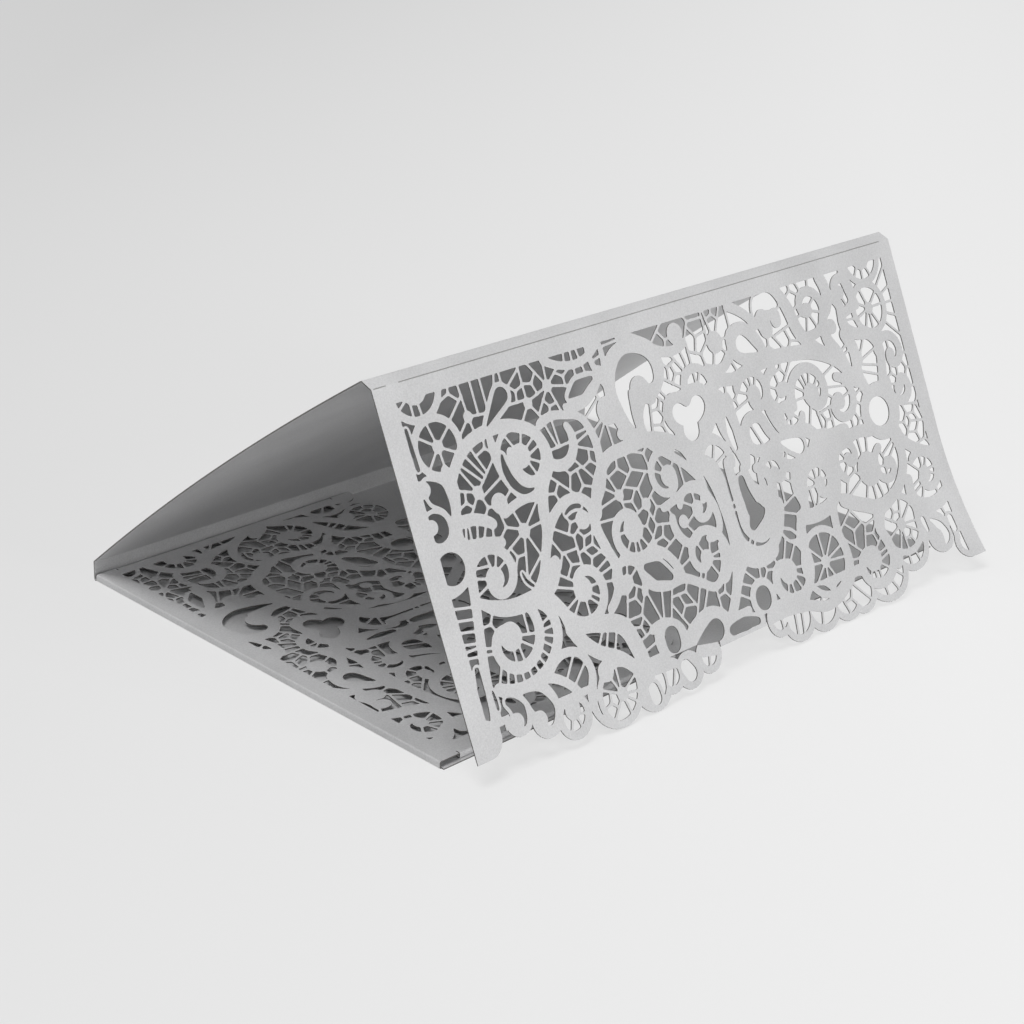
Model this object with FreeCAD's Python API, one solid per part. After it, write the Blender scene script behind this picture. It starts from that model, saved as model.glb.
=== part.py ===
"""Laser-cut pocket fold card, standing folded as a tent.

One sheet of card is cut, scored, folded and glued. In order from the front edge it has a plain base
panel, a rear spine, a plain bowed back panel, a ridge spine and a lace flap whose lobes touch the
table. A lace pocket panel folds over the left end of the base. Its two glue tabs turn in under it.

Axes: +X runs along the ridge, +Y to the rear, +Z up. The origin is the centre of the base's underside.
The lace is drawn flat, with u to the right along the flap's crease and v away from the crease.
"""
import FreeCAD, Part
import math
import os
from FreeCAD import Vector

# Sheet and panels, in mm and degrees
card_width = 178.0
base_depth = 127.0
sheet = 0.3
rear_spine_height = 5.0
back_length = 125.6
back_rise_angle = 36.9
back_bow = 2.0
ridge_width = 3.2
ridge_drop_angle = 20.6

# Lace flap: its size, its plain borders, and the corner that curls away from the tent
flap_reach = 87.5
flap_root = 2.0
top_border = 4.0
left_border = 5.3
right_border = 5.0
left_strip_reach = 81.4
right_strip_reach = 85.3
left_strip_width = 8.0
right_strip_width = 6.0
strip_corner = 4.0
right_corner_drop = 2.0
mouth_line = 75.6
mouth_rim = 1.8
curl_right_at = 50.0
curl_bottom_at = 115.0
curl_radius = 81.0
curl_sweep = 40.0
curl_depth = 40.0

# Score along the flap's crease
score_width = 0.25
score_depth = 0.12
score_start = 0.5
score_gap_from = 4.0
score_gap_to = 7.5
score_end = 4.0

# Pocket on the base
pocket_height = 1.8
pocket_side_gap = 0.8
pocket_fold_border = 5.0
pocket_rear_border = 3.8
pocket_front_border = 5.0
tab_width = 12.0
tab_mitre = 8.0
tab_length = 70.0
tab_setback = 6.0

# Lace: the card that it was drawn for, where the pocket's fold and rear edge cross it, and its bars
drawn_width = 178.0
drawn_reach = 87.5
pocket_fold_at = 2.6
pocket_rear_at = 29.5
bar_width = 0.9
bar_pitch = 24.0
bar_reach = 7.5
bar_spacing = 3.0
spoke_pitch = 12.0
flap_holes = 92
pocket_holes = 57
map_cell = 0.3
stroke_step = 1.5
trace_tolerance = 0.36
far_off = 5.0

# Rosettes: u, v, radius of the eye, radius of the open field, width of the ring, angle of the first
# spoke
ROSETTES = [
    (13.0, 15.3, 1.6, 5.3, 1.8, 10),
    (44.4, 11.0, 1.6, 5.4, 1.4, 20),
    (34.8, 22.7, 2.8, 5.8, 1.6, 30),
    (18.0, 45.6, 2.6, 5.7, 2.0, 0),
    (17.8, 59.3, 3.2, 7.0, 1.8, 0),
    (43.0, 55.0, 3.2, 7.2, 1.8, 20),
    (61.6, 46.4, 3.3, 6.0, 1.8, 0),
    (77.8, 37.3, 2.9, 6.0, 1.6, 0),
    (82.2, 56.5, 2.4, 6.0, 1.6, 15),
    (104.0, 11.9, 2.7, 5.6, 1.4, 0),
    (133.5, 31.5, 2.8, 6.6, 1.4, 0),
    (163.2, 15.4, 1.6, 5.3, 1.8, 0),
    (108.8, 70.0, 2.9, 6.8, 2.4, 10),
    (122.0, 71.3, 1.6, 7.2, 1.8, 0),
    (145.3, 54.0, 3.8, 7.2, 1.4, 0),
    (153.5, 70.3, 1.6, 6.4, 1.8, 0),
    (138.5, 76.0, 3.4, 6.2, 1.6, 0),
]

# Plain spots of card: u, v, radius
SPOTS = [
    (25.3, 30.9, 2.3),
    (30.0, 38.3, 1.9),
    (47.5, 40.5, 2.2),
    (42.0, 74.0, 2.4),
    (63.8, 19.3, 3.3),
    (91.5, 7.2, 2.6),
    (112.8, 26.8, 2.3),
    (139.8, 11.0, 1.6),
    (153.5, 26.6, 2.2),
    (168.0, 60.2, 2.6),
]

# Scrolls of card: u, v and half the scroll's width there, from one end to the other
SCROLLS = [
    # great scroll of the left group, and what branches from it
    [(14.4, 23.0, 1.0), (20.5, 17.0, 1.2), (30.0, 15.2, 1.2), (39.0, 17.6, 1.2), (42.3, 25.5, 1.3),
     (38.0, 32.5, 1.3), (36.5, 40.0, 1.3), (31.5, 49.5, 1.1), (28.0, 52.5, 1.1)],
    [(13.2, 20.5, 1.0), (14.0, 25.0, 1.2), (11.8, 34.0, 1.3), (12.2, 45.0, 1.1), (9.6, 58.0, 1.0),
     (8.6, 76.0, 1.0)],
    [(11.8, 32.3, 1.1), (18.0, 32.0, 1.1), (25.3, 30.9, 1.0), (38.0, 31.9, 0.8)],
    [(4.5, 34.8, 1.3), (13.0, 37.2, 1.2), (30.0, 38.3, 1.0), (36.5, 38.5, 0.8)],
    [(12.4, 49.4, 0.8), (17.0, 52.0, 1.5), (26.0, 53.0, 1.7), (33.0, 51.6, 1.6), (36.3, 47.0, 1.2)],
    [(26.5, 53.0, 1.3), (31.6, 61.0, 1.1), (28.0, 66.8, 1.1), (20.0, 70.0, 1.2), (9.0, 68.2, 1.2)],
    [(31.0, 53.0, 1.0), (36.5, 64.0, 1.6), (41.0, 69.0, 1.4), (52.0, 77.0, 1.3)],
    [(35.0, 62.5, 1.2), (44.0, 63.6, 1.7), (50.5, 66.0, 1.9), (54.4, 79.0, 1.6)],
    [(36.2, 41.0, 1.2), (44.5, 35.2, 0.9), (51.0, 38.6, 1.2), (52.3, 49.0, 1.2), (52.0, 58.5, 1.0)],
    [(42.5, 17.6, 0.9), (50.5, 17.2, 0.8), (57.2, 23.0, 0.9), (57.4, 29.0, 1.0), (51.5, 38.5, 0.9)],
    [(43.0, 26.6, 1.1), (48.5, 27.0, 1.1), (51.4, 22.8, 1.0), (50.2, 17.5, 0.8)],
    [(26.5, 68.5, 0.8), (35.5, 67.6, 0.8), (38.0, 72.0, 0.8), (35.0, 82.0, 1.2)],
    # great arch in the middle, and what hangs inside it
    [(52.2, 40.5, 1.3), (58.0, 30.0, 1.3), (66.0, 28.2, 1.4), (76.0, 28.6, 1.4), (88.0, 37.0, 1.3),
     (92.4, 50.0, 1.3), (91.4, 63.0, 1.3), (84.5, 75.0, 1.2)],
    [(66.2, 15.5, 1.5), (69.0, 8.4, 1.3), (75.0, 6.2, 1.0), (82.0, 8.2, 1.1), (83.6, 13.5, 1.2),
     (80.5, 18.0, 1.2), (75.5, 19.0, 1.4), (72.6, 23.0, 1.4), (73.0, 28.0, 1.4)],
    [(66.2, 15.5, 1.5), (66.6, 21.5, 1.6), (69.5, 27.0, 1.6)],
    [(73.5, 4.2, 1.2), (83.0, 9.0, 1.0), (98.5, 9.4, 0.9)],
    [(50.5, 16.6, 0.8), (61.0, 14.0, 0.9), (66.5, 3.8, 0.8)],
    [(55.0, 29.4, 0.8), (60.4, 37.5, 0.8), (67.8, 42.3, 1.3), (73.0, 42.0, 0.8)],
    [(51.5, 52.2, 1.0), (61.6, 54.0, 1.0), (67.2, 53.2, 1.0), (71.8, 57.6, 1.0), (76.0, 60.8, 1.0)],
    [(60.9, 54.6, 1.0), (62.2, 59.6, 1.0), (70.0, 62.2, 0.9), (76.0, 60.8, 0.9)],
    [(54.0, 66.5, 0.9), (64.0, 64.0, 0.8), (72.0, 66.5, 0.9), (84.0, 66.2, 0.8), (90.0, 67.0, 0.8)],
    [(55.5, 78.2, 1.0), (62.0, 78.6, 0.9), (74.0, 79.4, 1.1)],
    # round the three-lobed opening, and the long branch to the right
    [(84.0, 31.5, 1.1), (85.6, 35.2, 1.2), (88.8, 38.2, 1.4)],
    [(88.5, 37.8, 1.2), (92.5, 33.2, 1.2), (97.5, 28.0, 1.0), (100.2, 25.0, 1.6)],
    [(97.3, 22.3, 0.9), (108.0, 21.0, 1.0), (121.0, 19.8, 1.2), (138.0, 21.8, 1.2), (151.0, 32.0, 1.3)],
    [(100.2, 25.0, 1.6), (99.4, 31.5, 1.2), (101.0, 41.0, 0.9)],
    [(130.0, 3.5, 1.0), (132.5, 9.6, 1.3), (134.2, 15.4, 1.3), (143.0, 23.2, 1.1)],
    [(147.0, 3.4, 1.2), (148.2, 9.0, 1.3), (144.8, 17.0, 1.2), (149.0, 30.0, 1.2)],
    [(148.4, 9.0, 1.0), (152.4, 14.0, 1.0), (155.6, 20.6, 1.0), (162.4, 25.0, 1.1), (160.6, 35.5, 1.1)],
    [(153.0, 18.0, 1.1), (153.0, 24.0, 1.3), (154.6, 36.4, 1.2)],
    # arches of the right group
    [(161.5, 32.5, 1.0), (167.0, 33.2, 1.0), (173.5, 32.6, 1.0)],
    [(160.4, 46.0, 1.1), (163.5, 51.0, 1.0), (173.5, 56.0, 1.0)],
    [(100.6, 33.0, 0.9), (107.0, 33.0, 0.9), (113.0, 32.6, 1.0), (117.2, 39.6, 1.0)],
    [(101.0, 41.0, 0.8), (109.0, 40.4, 0.9), (115.6, 41.6, 1.0), (121.0, 46.6, 1.1), (131.0, 42.0, 1.2),
     (152.4, 42.4, 1.1)],
    [(121.0, 46.6, 1.3), (118.6, 51.0, 0.9), (119.0, 57.0, 1.1), (116.0, 64.0, 1.1)],
    [(126.0, 45.4, 1.2), (133.4, 50.0, 1.2), (130.6, 58.0, 1.2), (118.6, 58.6, 1.2)],
    [(97.4, 40.0, 0.9), (97.8, 50.0, 1.1), (98.6, 57.0, 1.0), (103.0, 59.4, 1.0), (107.5, 55.5, 1.1),
     (109.8, 45.5, 0.9), (106.5, 41.0, 0.8)],
    [(92.6, 53.0, 0.9), (95.4, 60.5, 0.9), (102.0, 63.4, 1.0), (109.2, 58.4, 1.1), (111.6, 50.0, 1.0),
     (118.6, 50.0, 0.9)],
    [(134.5, 56.0, 1.2), (137.5, 61.5, 1.2), (148.0, 64.2, 1.3), (158.0, 59.8, 1.1), (160.0, 46.5, 1.1)],
    [(130.6, 58.0, 1.2), (129.4, 66.0, 1.1), (130.8, 72.0, 1.1)],
    [(156.4, 61.0, 1.0), (162.0, 66.0, 1.2), (173.5, 67.2, 1.2)],
    [(97.5, 78.6, 1.2), (104.0, 78.4, 1.3), (112.0, 79.6, 1.1), (122.0, 81.0, 1.1), (132.0, 79.6, 1.0)],
]

# Openings that no bar crosses: width of the rim, then u, v and half the opening's width there
OPENINGS = [
    (1.1, [(27.9, 14.2, 0.3), (34.0, 8.9, 1.9)]),
    (1.1, [(53.5, 13.8, 0.3), (57.0, 12.4, 1.7), (61.5, 11.2, 0.5)]),
    (1.0, [(71.0, 25.0, 0.3), (70.0, 20.0, 1.2), (70.6, 14.6, 2.2), (74.2, 12.4, 4.0), (77.8, 13.0, 3.4),
           (79.6, 15.0, 1.4)]),
    (0.9, [(86.2, 25.2, 2.4), (89.2, 26.6, 2.2), (92.8, 24.8, 2.4)]),
    (0.9, [(89.2, 26.6, 2.2), (88.6, 29.8, 2.6)]),
    (0.9, [(62.6, 56.4, 0.9), (65.8, 57.8, 2.2), (69.2, 59.5, 0.9)]),
    (1.1, [(64.6, 72.7, 2.3), (64.6, 74.5, 2.3)]),
    (1.1, [(71.8, 77.0, 0.3), (75.8, 76.2, 1.7), (79.0, 75.7, 2.7)]),
    (1.0, [(66.4, 80.6, 1.7), (67.5, 81.8, 1.9)]),
    (1.1, [(117.7, 17.0, 0.3), (113.2, 14.3, 2.2)]),
    (0.6, [(120.6, 8.4, 0.8), (122.5, 6.4, 2.2), (126.3, 6.3, 2.1), (128.8, 7.6, 0.7)]),
    (1.1, [(117.8, 40.0, 0.4), (120.8, 41.2, 1.4), (123.6, 42.2, 2.0)]),
    (1.1, [(156.4, 41.2, 3.7), (157.0, 41.2, 3.7)]),
    (0.8, [(101.0, 45.0, 1.1), (101.4, 50.0, 1.6), (102.8, 53.8, 2.4), (105.0, 53.4, 0.6)]),
    (1.9, [(97.3, 72.9, 2.6), (97.3, 73.7, 2.6)]),
    (1.1, [(7.4, 40.6, 3.5), (7.8, 40.6, 3.5)]),
    (0.9, [(7.4, 22.4, 1.0), (9.2, 24.6, 2.4), (10.9, 27.5, 1.0), (11.3, 29.8, 0.3)]),
    (0.9, [(12.6, 71.4, 0.9), (14.8, 74.0, 1.8), (15.0, 76.4, 1.3)]),
    (0.8, [(17.2, 71.4, 0.3), (20.6, 74.0, 2.2), (22.4, 76.8, 2.3), (22.6, 79.0, 0.9)]),
    (0.8, [(84.5, 77.0, 1.3), (89.0, 76.8, 1.6), (93.4, 77.4, 0.9)]),
    (0.9, [(54.6, 82.0, 1.5), (54.9, 83.2, 1.6)]),
    (0.8, [(164.6, 72.4, 0.4), (167.0, 74.8, 1.3), (167.9, 77.4, 1.2), (166.8, 79.2, 0.4)]),
]

# Card that curls into an opening: u, v and half the curl's width there
CURLS = [
    [(78.4, 19.6, 1.6), (75.6, 16.8, 3.0)],
    [(5.0, 22.8, 1.8), (6.2, 23.0, 1.8)],
    [(122.6, 12.4, 2.4), (122.6, 10.2, 2.6)],
    [(11.5, 76.4, 1.6), (13.5, 76.2, 2.0)],
    [(17.6, 79.0, 1.8), (19.8, 78.0, 2.2)],
    [(162.6, 78.0, 1.6), (164.6, 76.8, 2.2)],
]

# Lobes of the mouth edge: u, v, radius. The deepest ones touch the table.
LOBES = [
    (14.2, 75.6, 4.0),
    (22.0, 78.0, 4.6),
    (29.7, 80.3, 5.2),
    (43.3, 78.8, 8.6),
    (54.8, 81.4, 6.0),
    (61.3, 81.2, 4.2),
    (67.3, 81.7, 4.5),
    (74.5, 80.4, 4.3),
    (84.0, 75.0, 4.8),
    (91.0, 75.0, 4.8),
    (101.0, 79.5, 4.6),
    (107.5, 81.2, 6.0),
    (117.0, 80.9, 6.6),
    (126.0, 81.5, 6.0),
    (132.0, 81.8, 5.6),
    (142.5, 78.9, 8.6),
    (154.0, 75.8, 7.0),
    (165.8, 77.0, 4.4),
]


# --- Fold: the sheet seen from the end --------------------------------------------------------------

def heading(angle):
    """Unit vector to the front in the YZ plane, at an angle above the horizontal."""
    return Vector(0, -math.cos(math.radians(angle)), math.sin(math.radians(angle)))


def quarter_turn(d):
    """A direction in the YZ plane turned to face into the tent."""
    return Vector(0, -d.z, d.y)


def mitre(corner, before, after, offset):
    """Point where the two offset lines of a fold meet."""
    n = quarter_turn(before) + quarter_turn(after)
    n.normalize()
    return corner + n * (offset / n.dot(quarter_turn(before)))


def fold_corners():
    """Corners of the sheet's middle, from the base's front edge to the flap's crease."""
    front = Vector(0, -base_depth / 2, sheet / 2)
    rear = Vector(0, base_depth / 2, sheet / 2)
    spine_top = rear + Vector(0, 0, rear_spine_height)
    ridge_rear = spine_top + heading(back_rise_angle) * back_length
    crease = ridge_rear + heading(-ridge_drop_angle) * ridge_width
    return [front, rear, spine_top, ridge_rear, crease]


def flap_lean(crease):
    """Angle below the horizontal at which the flap's deepest lobe just meets the table."""
    reach = max(place(u, v).y + r for u, v, r in LOBES)
    tip = math.atan2(sheet / 2, reach)
    return math.degrees(math.asin(crease.z / math.hypot(reach, sheet / 2)) - tip)


def sheet_side(points, headings, offset):
    """One face of the folded sheet as edges, with the back panel as a shallow arc."""
    line = [points[0] + quarter_turn(headings[0]) * offset]
    for i in range(1, len(points) - 1):
        line.append(mitre(points[i], headings[i - 1], headings[i], offset))
    line.append(points[-1] + quarter_turn(headings[-1]) * offset)
    edges = []
    for i, (a, b) in enumerate(zip(line, line[1:])):
        if i == 2:
            middle = (a + b) * 0.5 - quarter_turn(headings[i]) * back_bow
            edges.append(Part.Arc(a, middle, b).toShape())
        else:
            edges.append(Part.makeLine(a, b))
    return edges


def folded_panels(down):
    """Base, rear spine, back, ridge spine and the flap's root in one piece."""
    points = fold_corners()
    points.append(points[-1] + down * flap_root)
    headings = []
    for a, b in zip(points, points[1:]):
        d = b - a
        d.normalize()
        headings.append(d)
    upper = sheet_side(points, headings, sheet / 2)
    lower = sheet_side(points, headings, -sheet / 2)
    ends = [
        Part.makeLine(upper[0].Vertexes[0].Point, lower[0].Vertexes[0].Point),
        Part.makeLine(upper[-1].Vertexes[-1].Point, lower[-1].Vertexes[-1].Point),
    ]
    outline = Part.Wire(Part.__sortEdges__(upper + lower + ends))
    body = Part.Face(outline).extrude(Vector(card_width, 0, 0))
    body.translate(Vector(-card_width / 2, 0, 0))
    return body


# --- Lace: the drawing as signed distances on a grid --------------------------------------------------

def place(u, v):
    """Point of the drawing on this card."""
    return Vector(u * card_width / drawn_width, v * flap_reach / drawn_reach, 0)


def tangents(points):
    """Unit tangents of a smooth curve through the points."""
    inner = []
    for a, b, c in zip(points, points[1:], points[2:]):
        before = b - a
        after = c - b
        t = before * (after.Length / before.Length) + after * (before.Length / after.Length)
        inner.append(t.normalize())
    first = (points[1] - points[0]).normalize()
    last = (points[-1] - points[-2]).normalize()
    if not inner:
        return [first, last]
    start = first * (2 * first.dot(inner[0])) - inner[0]
    end = last * (2 * last.dot(inner[-1])) - inner[-1]
    return [start.normalize()] + inner + [end.normalize()]


def smooth_line(stroke):
    """Stroke as closely set points with the half width at each, smooth through the given points."""
    placed = [place(u, v) for u, v, half in stroke]
    turns = tangents(placed)
    line = []
    for i in range(len(placed) - 1):
        a, b = placed[i], placed[i + 1]
        length = (b - a).Length
        steps = int(length / stroke_step) + 1
        for k in range(steps):
            t = k / steps
            point = a * ((1 + 2 * t) * (1 - t) ** 2) + b * (t * t * (3 - 2 * t))
            point += (turns[i] * (t * (1 - t) ** 2) + turns[i + 1] * (t * t * (t - 1))) * length
            line.append((point, stroke[i][2] * (1 - t) + stroke[i + 1][2] * t))
    line.append((placed[-1], stroke[-1][2]))
    return line


class LaceDrawing:
    """Signed distance to the card's edge at the points of a grid: below zero on card, above it in a hole.

    A second map marks what no bar may cross: the clear openings, and all beyond the mouth's rim.
    """

    def __init__(self):
        self.columns = int(card_width / map_cell) + 2
        self.rows = int((flap_reach + 1) / map_cell) + 2
        self.gap = [far_off] * (self.columns * self.rows)
        self.barred = bytearray(self.columns * self.rows)

    def cells_near(self, low, high):
        """Index and place of each grid point in a box."""
        first = max(0, int(low.x / map_cell))
        last = min(self.columns, int(high.x / map_cell) + 2)
        for row in range(max(0, int(low.y / map_cell)), min(self.rows, int(high.y / map_cell) + 2)):
            start = row * self.columns
            for column in range(first, last):
                yield start + column, column * map_cell, row * map_cell

    def stretch(self, a, b, ra, rb, clear=False):
        """Add, or clear away, what lies between two circles and along the line that joins them."""
        reach = Vector(1, 1, 0) * (max(ra, rb) + 2 * map_cell)
        low = Vector(min(a.x, b.x), min(a.y, b.y), 0) - reach
        high = Vector(max(a.x, b.x), max(a.y, b.y), 0) + reach
        dx, dy = b.x - a.x, b.y - a.y
        square = dx * dx + dy * dy or 1.0
        gap = self.gap
        for i, x, y in self.cells_near(low, high):
            t = min(1.0, max(0.0, ((x - a.x) * dx + (y - a.y) * dy) / square))
            away = math.hypot(x - a.x - t * dx, y - a.y - t * dy) - ra - t * (rb - ra)
            if not clear:
                gap[i] = min(gap[i], away)
            elif -away > gap[i]:
                gap[i] = -away
                if away < 0:
                    self.barred[i] = 1

    def stroke(self, points, grow=0.0, clear=False):
        """Add or clear a smooth stroke whose width changes along it."""
        line = smooth_line(points)
        for (a, ra), (b, rb) in zip(line, line[1:]):
            self.stretch(a, b, ra + grow, rb + grow, clear)

    def ring(self, centre, inner, outer):
        """Add the card between two circles."""
        reach = Vector(1, 1, 0) * (outer + 2 * map_cell)
        for i, x, y in self.cells_near(centre - reach, centre + reach):
            away = math.hypot(x - centre.x, y - centre.y)
            self.gap[i] = min(self.gap[i], max(inner - away, away - outer))

    def limit(self, left, right, top):
        """Make card of all that lies outside the borders and the rim of the mouth."""
        lobes = [(place(u, v), r - mouth_rim) for u, v, r in LOBES]
        mouth = place(0, mouth_line).y - mouth_rim
        for i, x, y in self.cells_near(Vector(), Vector(card_width, flap_reach + 1, 0)):
            beyond = y - mouth
            if beyond > -1:
                beyond = min([beyond] + [math.hypot(x - c.x, y - c.y) - r for c, r in lobes])
            if beyond > 0:
                self.barred[i] = 1
            self.gap[i] = min(self.gap[i], x - left, right - x, y - top, -beyond)

    def index(self, point):
        """Grid point nearest to a place."""
        column = min(self.columns - 1, max(0, int(point.x / map_cell + 0.5)))
        row = min(self.rows - 1, max(0, int(point.y / map_cell + 0.5)))
        return row * self.columns + column

    def on_card(self, point):
        """Whether there is card at a place."""
        return self.gap[self.index(point)] < 0

    def is_open(self, point):
        """Whether a bar may pass a place."""
        i = self.index(point)
        return self.gap[i] >= 0 and not self.barred[i]

    def bar(self, start, way, spacing):
        """Cast a bar from the card round a place straight on to the next card, if there is room."""
        s = 0.0
        while s < bar_reach and self.on_card(start + way * s):
            s += map_cell / 2
        near = s
        while s < near + bar_reach and self.is_open(start + way * s):
            s += map_cell / 2
        short = s - near < bar_width
        if short or self.barred[self.index(start + way * s)] or not self.on_card(start + way * s):
            return
        aside = Vector(-way.y, way.x, 0) * spacing
        middle = start + way * ((near + s) / 2)
        if self.on_card(middle + aside) or self.on_card(middle - aside):
            return
        half = bar_width / 2
        self.stretch(start + way * (near - half), start + way * (s + half), half, half)


def draw_lace(left, right, top):
    """The lace between plain borders: scrolls and rosettes, then the clear openings, and bars last."""
    lace = LaceDrawing()
    for points in SCROLLS:
        lace.stroke(points)
    for u, v, radius in SPOTS:
        lace.ring(place(u, v), -radius, radius)
    for u, v, eye, field, width, phase in ROSETTES:
        lace.ring(place(u, v), -eye, eye)
        lace.ring(place(u, v), field, field + width)
    for rim, points in OPENINGS:
        lace.stroke(points, rim)
    for rim, points in OPENINGS:
        lace.stroke(points, 0.0, True)
    for points in CURLS:
        lace.stroke(points)
    lace.limit(left, right, top)
    for u, v, eye, field, width, phase in ROSETTES:
        spokes = round(math.tau * field / spoke_pitch)
        for i in range(spokes):
            angle = math.radians(phase + 360 * i / spokes)
            way = Vector(math.cos(angle), math.sin(angle), 0)
            lace.bar(place(u, v), way, bar_width)
            lace.bar(place(u, v) + way * (field + width / 2), way, bar_spacing)
    for rim, points in OPENINGS:
        cast_bars(lace, smooth_line(points), rim)
    for points in SCROLLS:
        cast_bars(lace, smooth_line(points), 0.0)
    return lace


def cast_bars(lace, line, rim):
    """Bars to both sides of a stroke, one pitch apart, from card that runs a rim's width beside it."""
    travelled = bar_pitch / 2
    for (a, half), (b, _) in zip(line, line[1:]):
        travelled += (b - a).Length
        if travelled >= bar_pitch:
            travelled = 0.0
            along = (b - a).normalize()
            for side in (1, -1):
                way = Vector(-along.y, along.x, 0) * side
                lace.bar(a + way * (half + rim / 2 if rim else 0.0), way, bar_spacing)


# --- Lace: the holes as outlines ----------------------------------------------------------------------

# Sides of a grid cell in turn: a step in columns and rows, and 1 for an upright side
SIDES = ((0, 0, 0), (1, 0, 1), (0, 1, 0), (0, 0, 1))


def crossings(lace):
    """Where the card's edge enters and leaves each grid cell, as a dict from one cell side to the next."""
    steps = {}
    gap = lace.gap
    width = lace.columns
    for row in range(lace.rows - 1):
        for column in range(width - 1):
            i = row * width + column
            holes = (gap[i] > 0, gap[i + 1] > 0, gap[i + width + 1] > 0, gap[i + width] > 0)
            if all(holes) or not any(holes):
                continue
            for k in range(4):
                if holes[k] and not holes[(k + 1) % 4]:
                    back = k
                    while holes[(back - 1) % 4]:
                        back -= 1
                    enter = SIDES[k]
                    leave = SIDES[(back - 1) % 4]
                    key = (column + enter[0], row + enter[1], enter[2])
                    steps[key] = (column + leave[0], row + leave[1], leave[2])
    return steps


def crossing_point(lace, side):
    """Place on a cell's side where the distance to the edge is nil, kept clear of the side's ends."""
    column, row, upright = side
    a = lace.gap[row * lace.columns + column]
    b = lace.gap[(row + upright) * lace.columns + column + 1 - upright]
    share = min(0.95, max(0.05, a / (a - b)))
    return Vector(column + share * (1 - upright), row + share * upright, 0) * map_cell


def thinned(points):
    """An open line with only the points that keep it within the trace tolerance."""
    if len(points) < 3:
        return points
    a, b = points[0], points[-1]
    chord = b - a
    offsets = [0.0]
    for p in points[1:-1]:
        offsets.append(abs((p - a).cross(chord).z) / chord.Length if chord.Length > 1e-9 else (p - a).Length)
    worst = max(range(len(offsets)), key=offsets.__getitem__)
    if offsets[worst] < trace_tolerance:
        return [a, b]
    return thinned(points[:worst + 1])[:-1] + thinned(points[worst:])


def loop_area(points):
    """Signed area in a closed line."""
    return sum(a.x * b.y - b.x * a.y for a, b in zip(points, points[1:] + points[:1])) / 2


def hole_outlines(lace, most):
    """Outlines of the largest holes as closed lines of few points."""
    steps = crossings(lace)
    outlines = []
    while steps:
        start, side = next(iter(steps.items()))
        loop = []
        side = start
        while side in steps:
            loop.append(crossing_point(lace, side))
            side = steps.pop(side)
        if loop_area(loop) > bar_width * bar_width:
            across = max(range(len(loop)), key=lambda k: (loop[k] - loop[0]).Length)
            outlines.append(thinned(loop[:across + 1])[:-1] + thinned(loop[across:] + loop[:1])[:-1])
    outlines.sort(key=loop_area)
    outlines = outlines[-most:]
    return [a for a in outlines if not any(encloses(b, a[0]) for b in outlines if b is not a)]


def encloses(points, place_inside):
    """Whether a closed line runs round a place."""
    inside = False
    for a, b in zip(points, points[1:] + points[:1]):
        if (a.y > place_inside.y) != (b.y > place_inside.y):
            along = (place_inside.y - a.y) / (b.y - a.y)
            if place_inside.x < a.x + along * (b.x - a.x):
                inside = not inside
    return inside


def polygon(points):
    """Flat face with straight sides."""
    return Part.Face(Part.makePolygon(points + points[:1]))


# --- Lace: panels -------------------------------------------------------------------------------------

def disc(centre, radius):
    """Round face."""
    return Part.Face(Part.Wire(Part.makeCircle(radius, centre)))


def rectangle(u0, v0, u1, v1):
    """Face with its sides along u and v."""
    return Part.makePlane(u1 - u0, v1 - v0, Vector(u0, v0, 0))


def lace_panel(outline, holes):
    """Face with holes: those inside it as they are, and those across its edge cut out of it."""
    inside = [h for h in holes if all(outline.isInside(p, 0.001, False) for p in h)]
    across = [polygon(h) for h in holes if h not in inside]
    wires = [Part.makePolygon(h + h[:1]) for h in inside]
    for wire in wires:
        wire.reverse()
    panel = Part.Face([outline.OuterWire] + wires)
    return panel.cut(across) if across else panel


def one_face(pieces):
    """Flat shapes joined to one face without the slivers that they enclose."""
    whole = pieces[0].multiFuse(pieces[1:]).removeSplitter()
    return Part.Face(whole.Faces[0].OuterWire)


def lobes_between(left, right):
    """The lobes of the mouth from one place to another across the card."""
    lobes = one_face([rectangle(left, flap_root, right, place(0, mouth_line).y)]
                     + [disc(place(u, v), r) for u, v, r in LOBES if left < place(u, v).x < right])
    return lobes.common(rectangle(left, 0, right, flap_reach * 2)).Faces[0]


# --- Flap -----------------------------------------------------------------------------------------------

def flap_outline():
    """Outer shape of the flap: the lobes between two side strips with a rounded corner each."""
    left = place(0, left_strip_reach).y - strip_corner
    right = place(0, right_strip_reach).y - strip_corner
    inner = card_width - strip_corner
    return one_face([
        lobes_between(left_strip_width, card_width - right_strip_width),
        rectangle(0, flap_root, left_strip_width, left),
        rectangle(0, flap_root, strip_corner, left + strip_corner),
        disc(Vector(strip_corner, left, 0), strip_corner),
        rectangle(card_width - right_strip_width, flap_root, card_width, right),
        rectangle(inner, flap_root, card_width, right + right_corner_drop),
        disc(Vector(inner, right, 0), strip_corner),
    ])


def curl_line():
    """Where the flap starts to curl: a place on the right edge and the way down to the left."""
    start = Vector(card_width, curl_right_at, 0)
    return start, (Vector(curl_bottom_at, flap_reach, 0) - start).normalize()


def half_plane(start, along, away):
    """All of a large face that lies to one side of a line."""
    far = along * card_width * 2
    wide = away * card_width * 2
    return polygon([start - far, start + far, start + far + wide, start - far + wide])


def reaches(hole, start, away):
    """Whether a hole reaches to one side of a line."""
    return any((p - start).dot(away) > 0 for p in hole)


def curled_sheet():
    """The flap's lower right corner without its lace, rolled down from the plane of the rest."""
    start, along = curl_line()
    half = Vector(0, 0, sheet / 2)
    first = start - along * card_width
    last = start + along * card_width
    edge = polygon([first - half, last - half, last + half, first + half])
    return edge.revolve(start - Vector(0, 0, curl_radius), along, curl_sweep)


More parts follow.
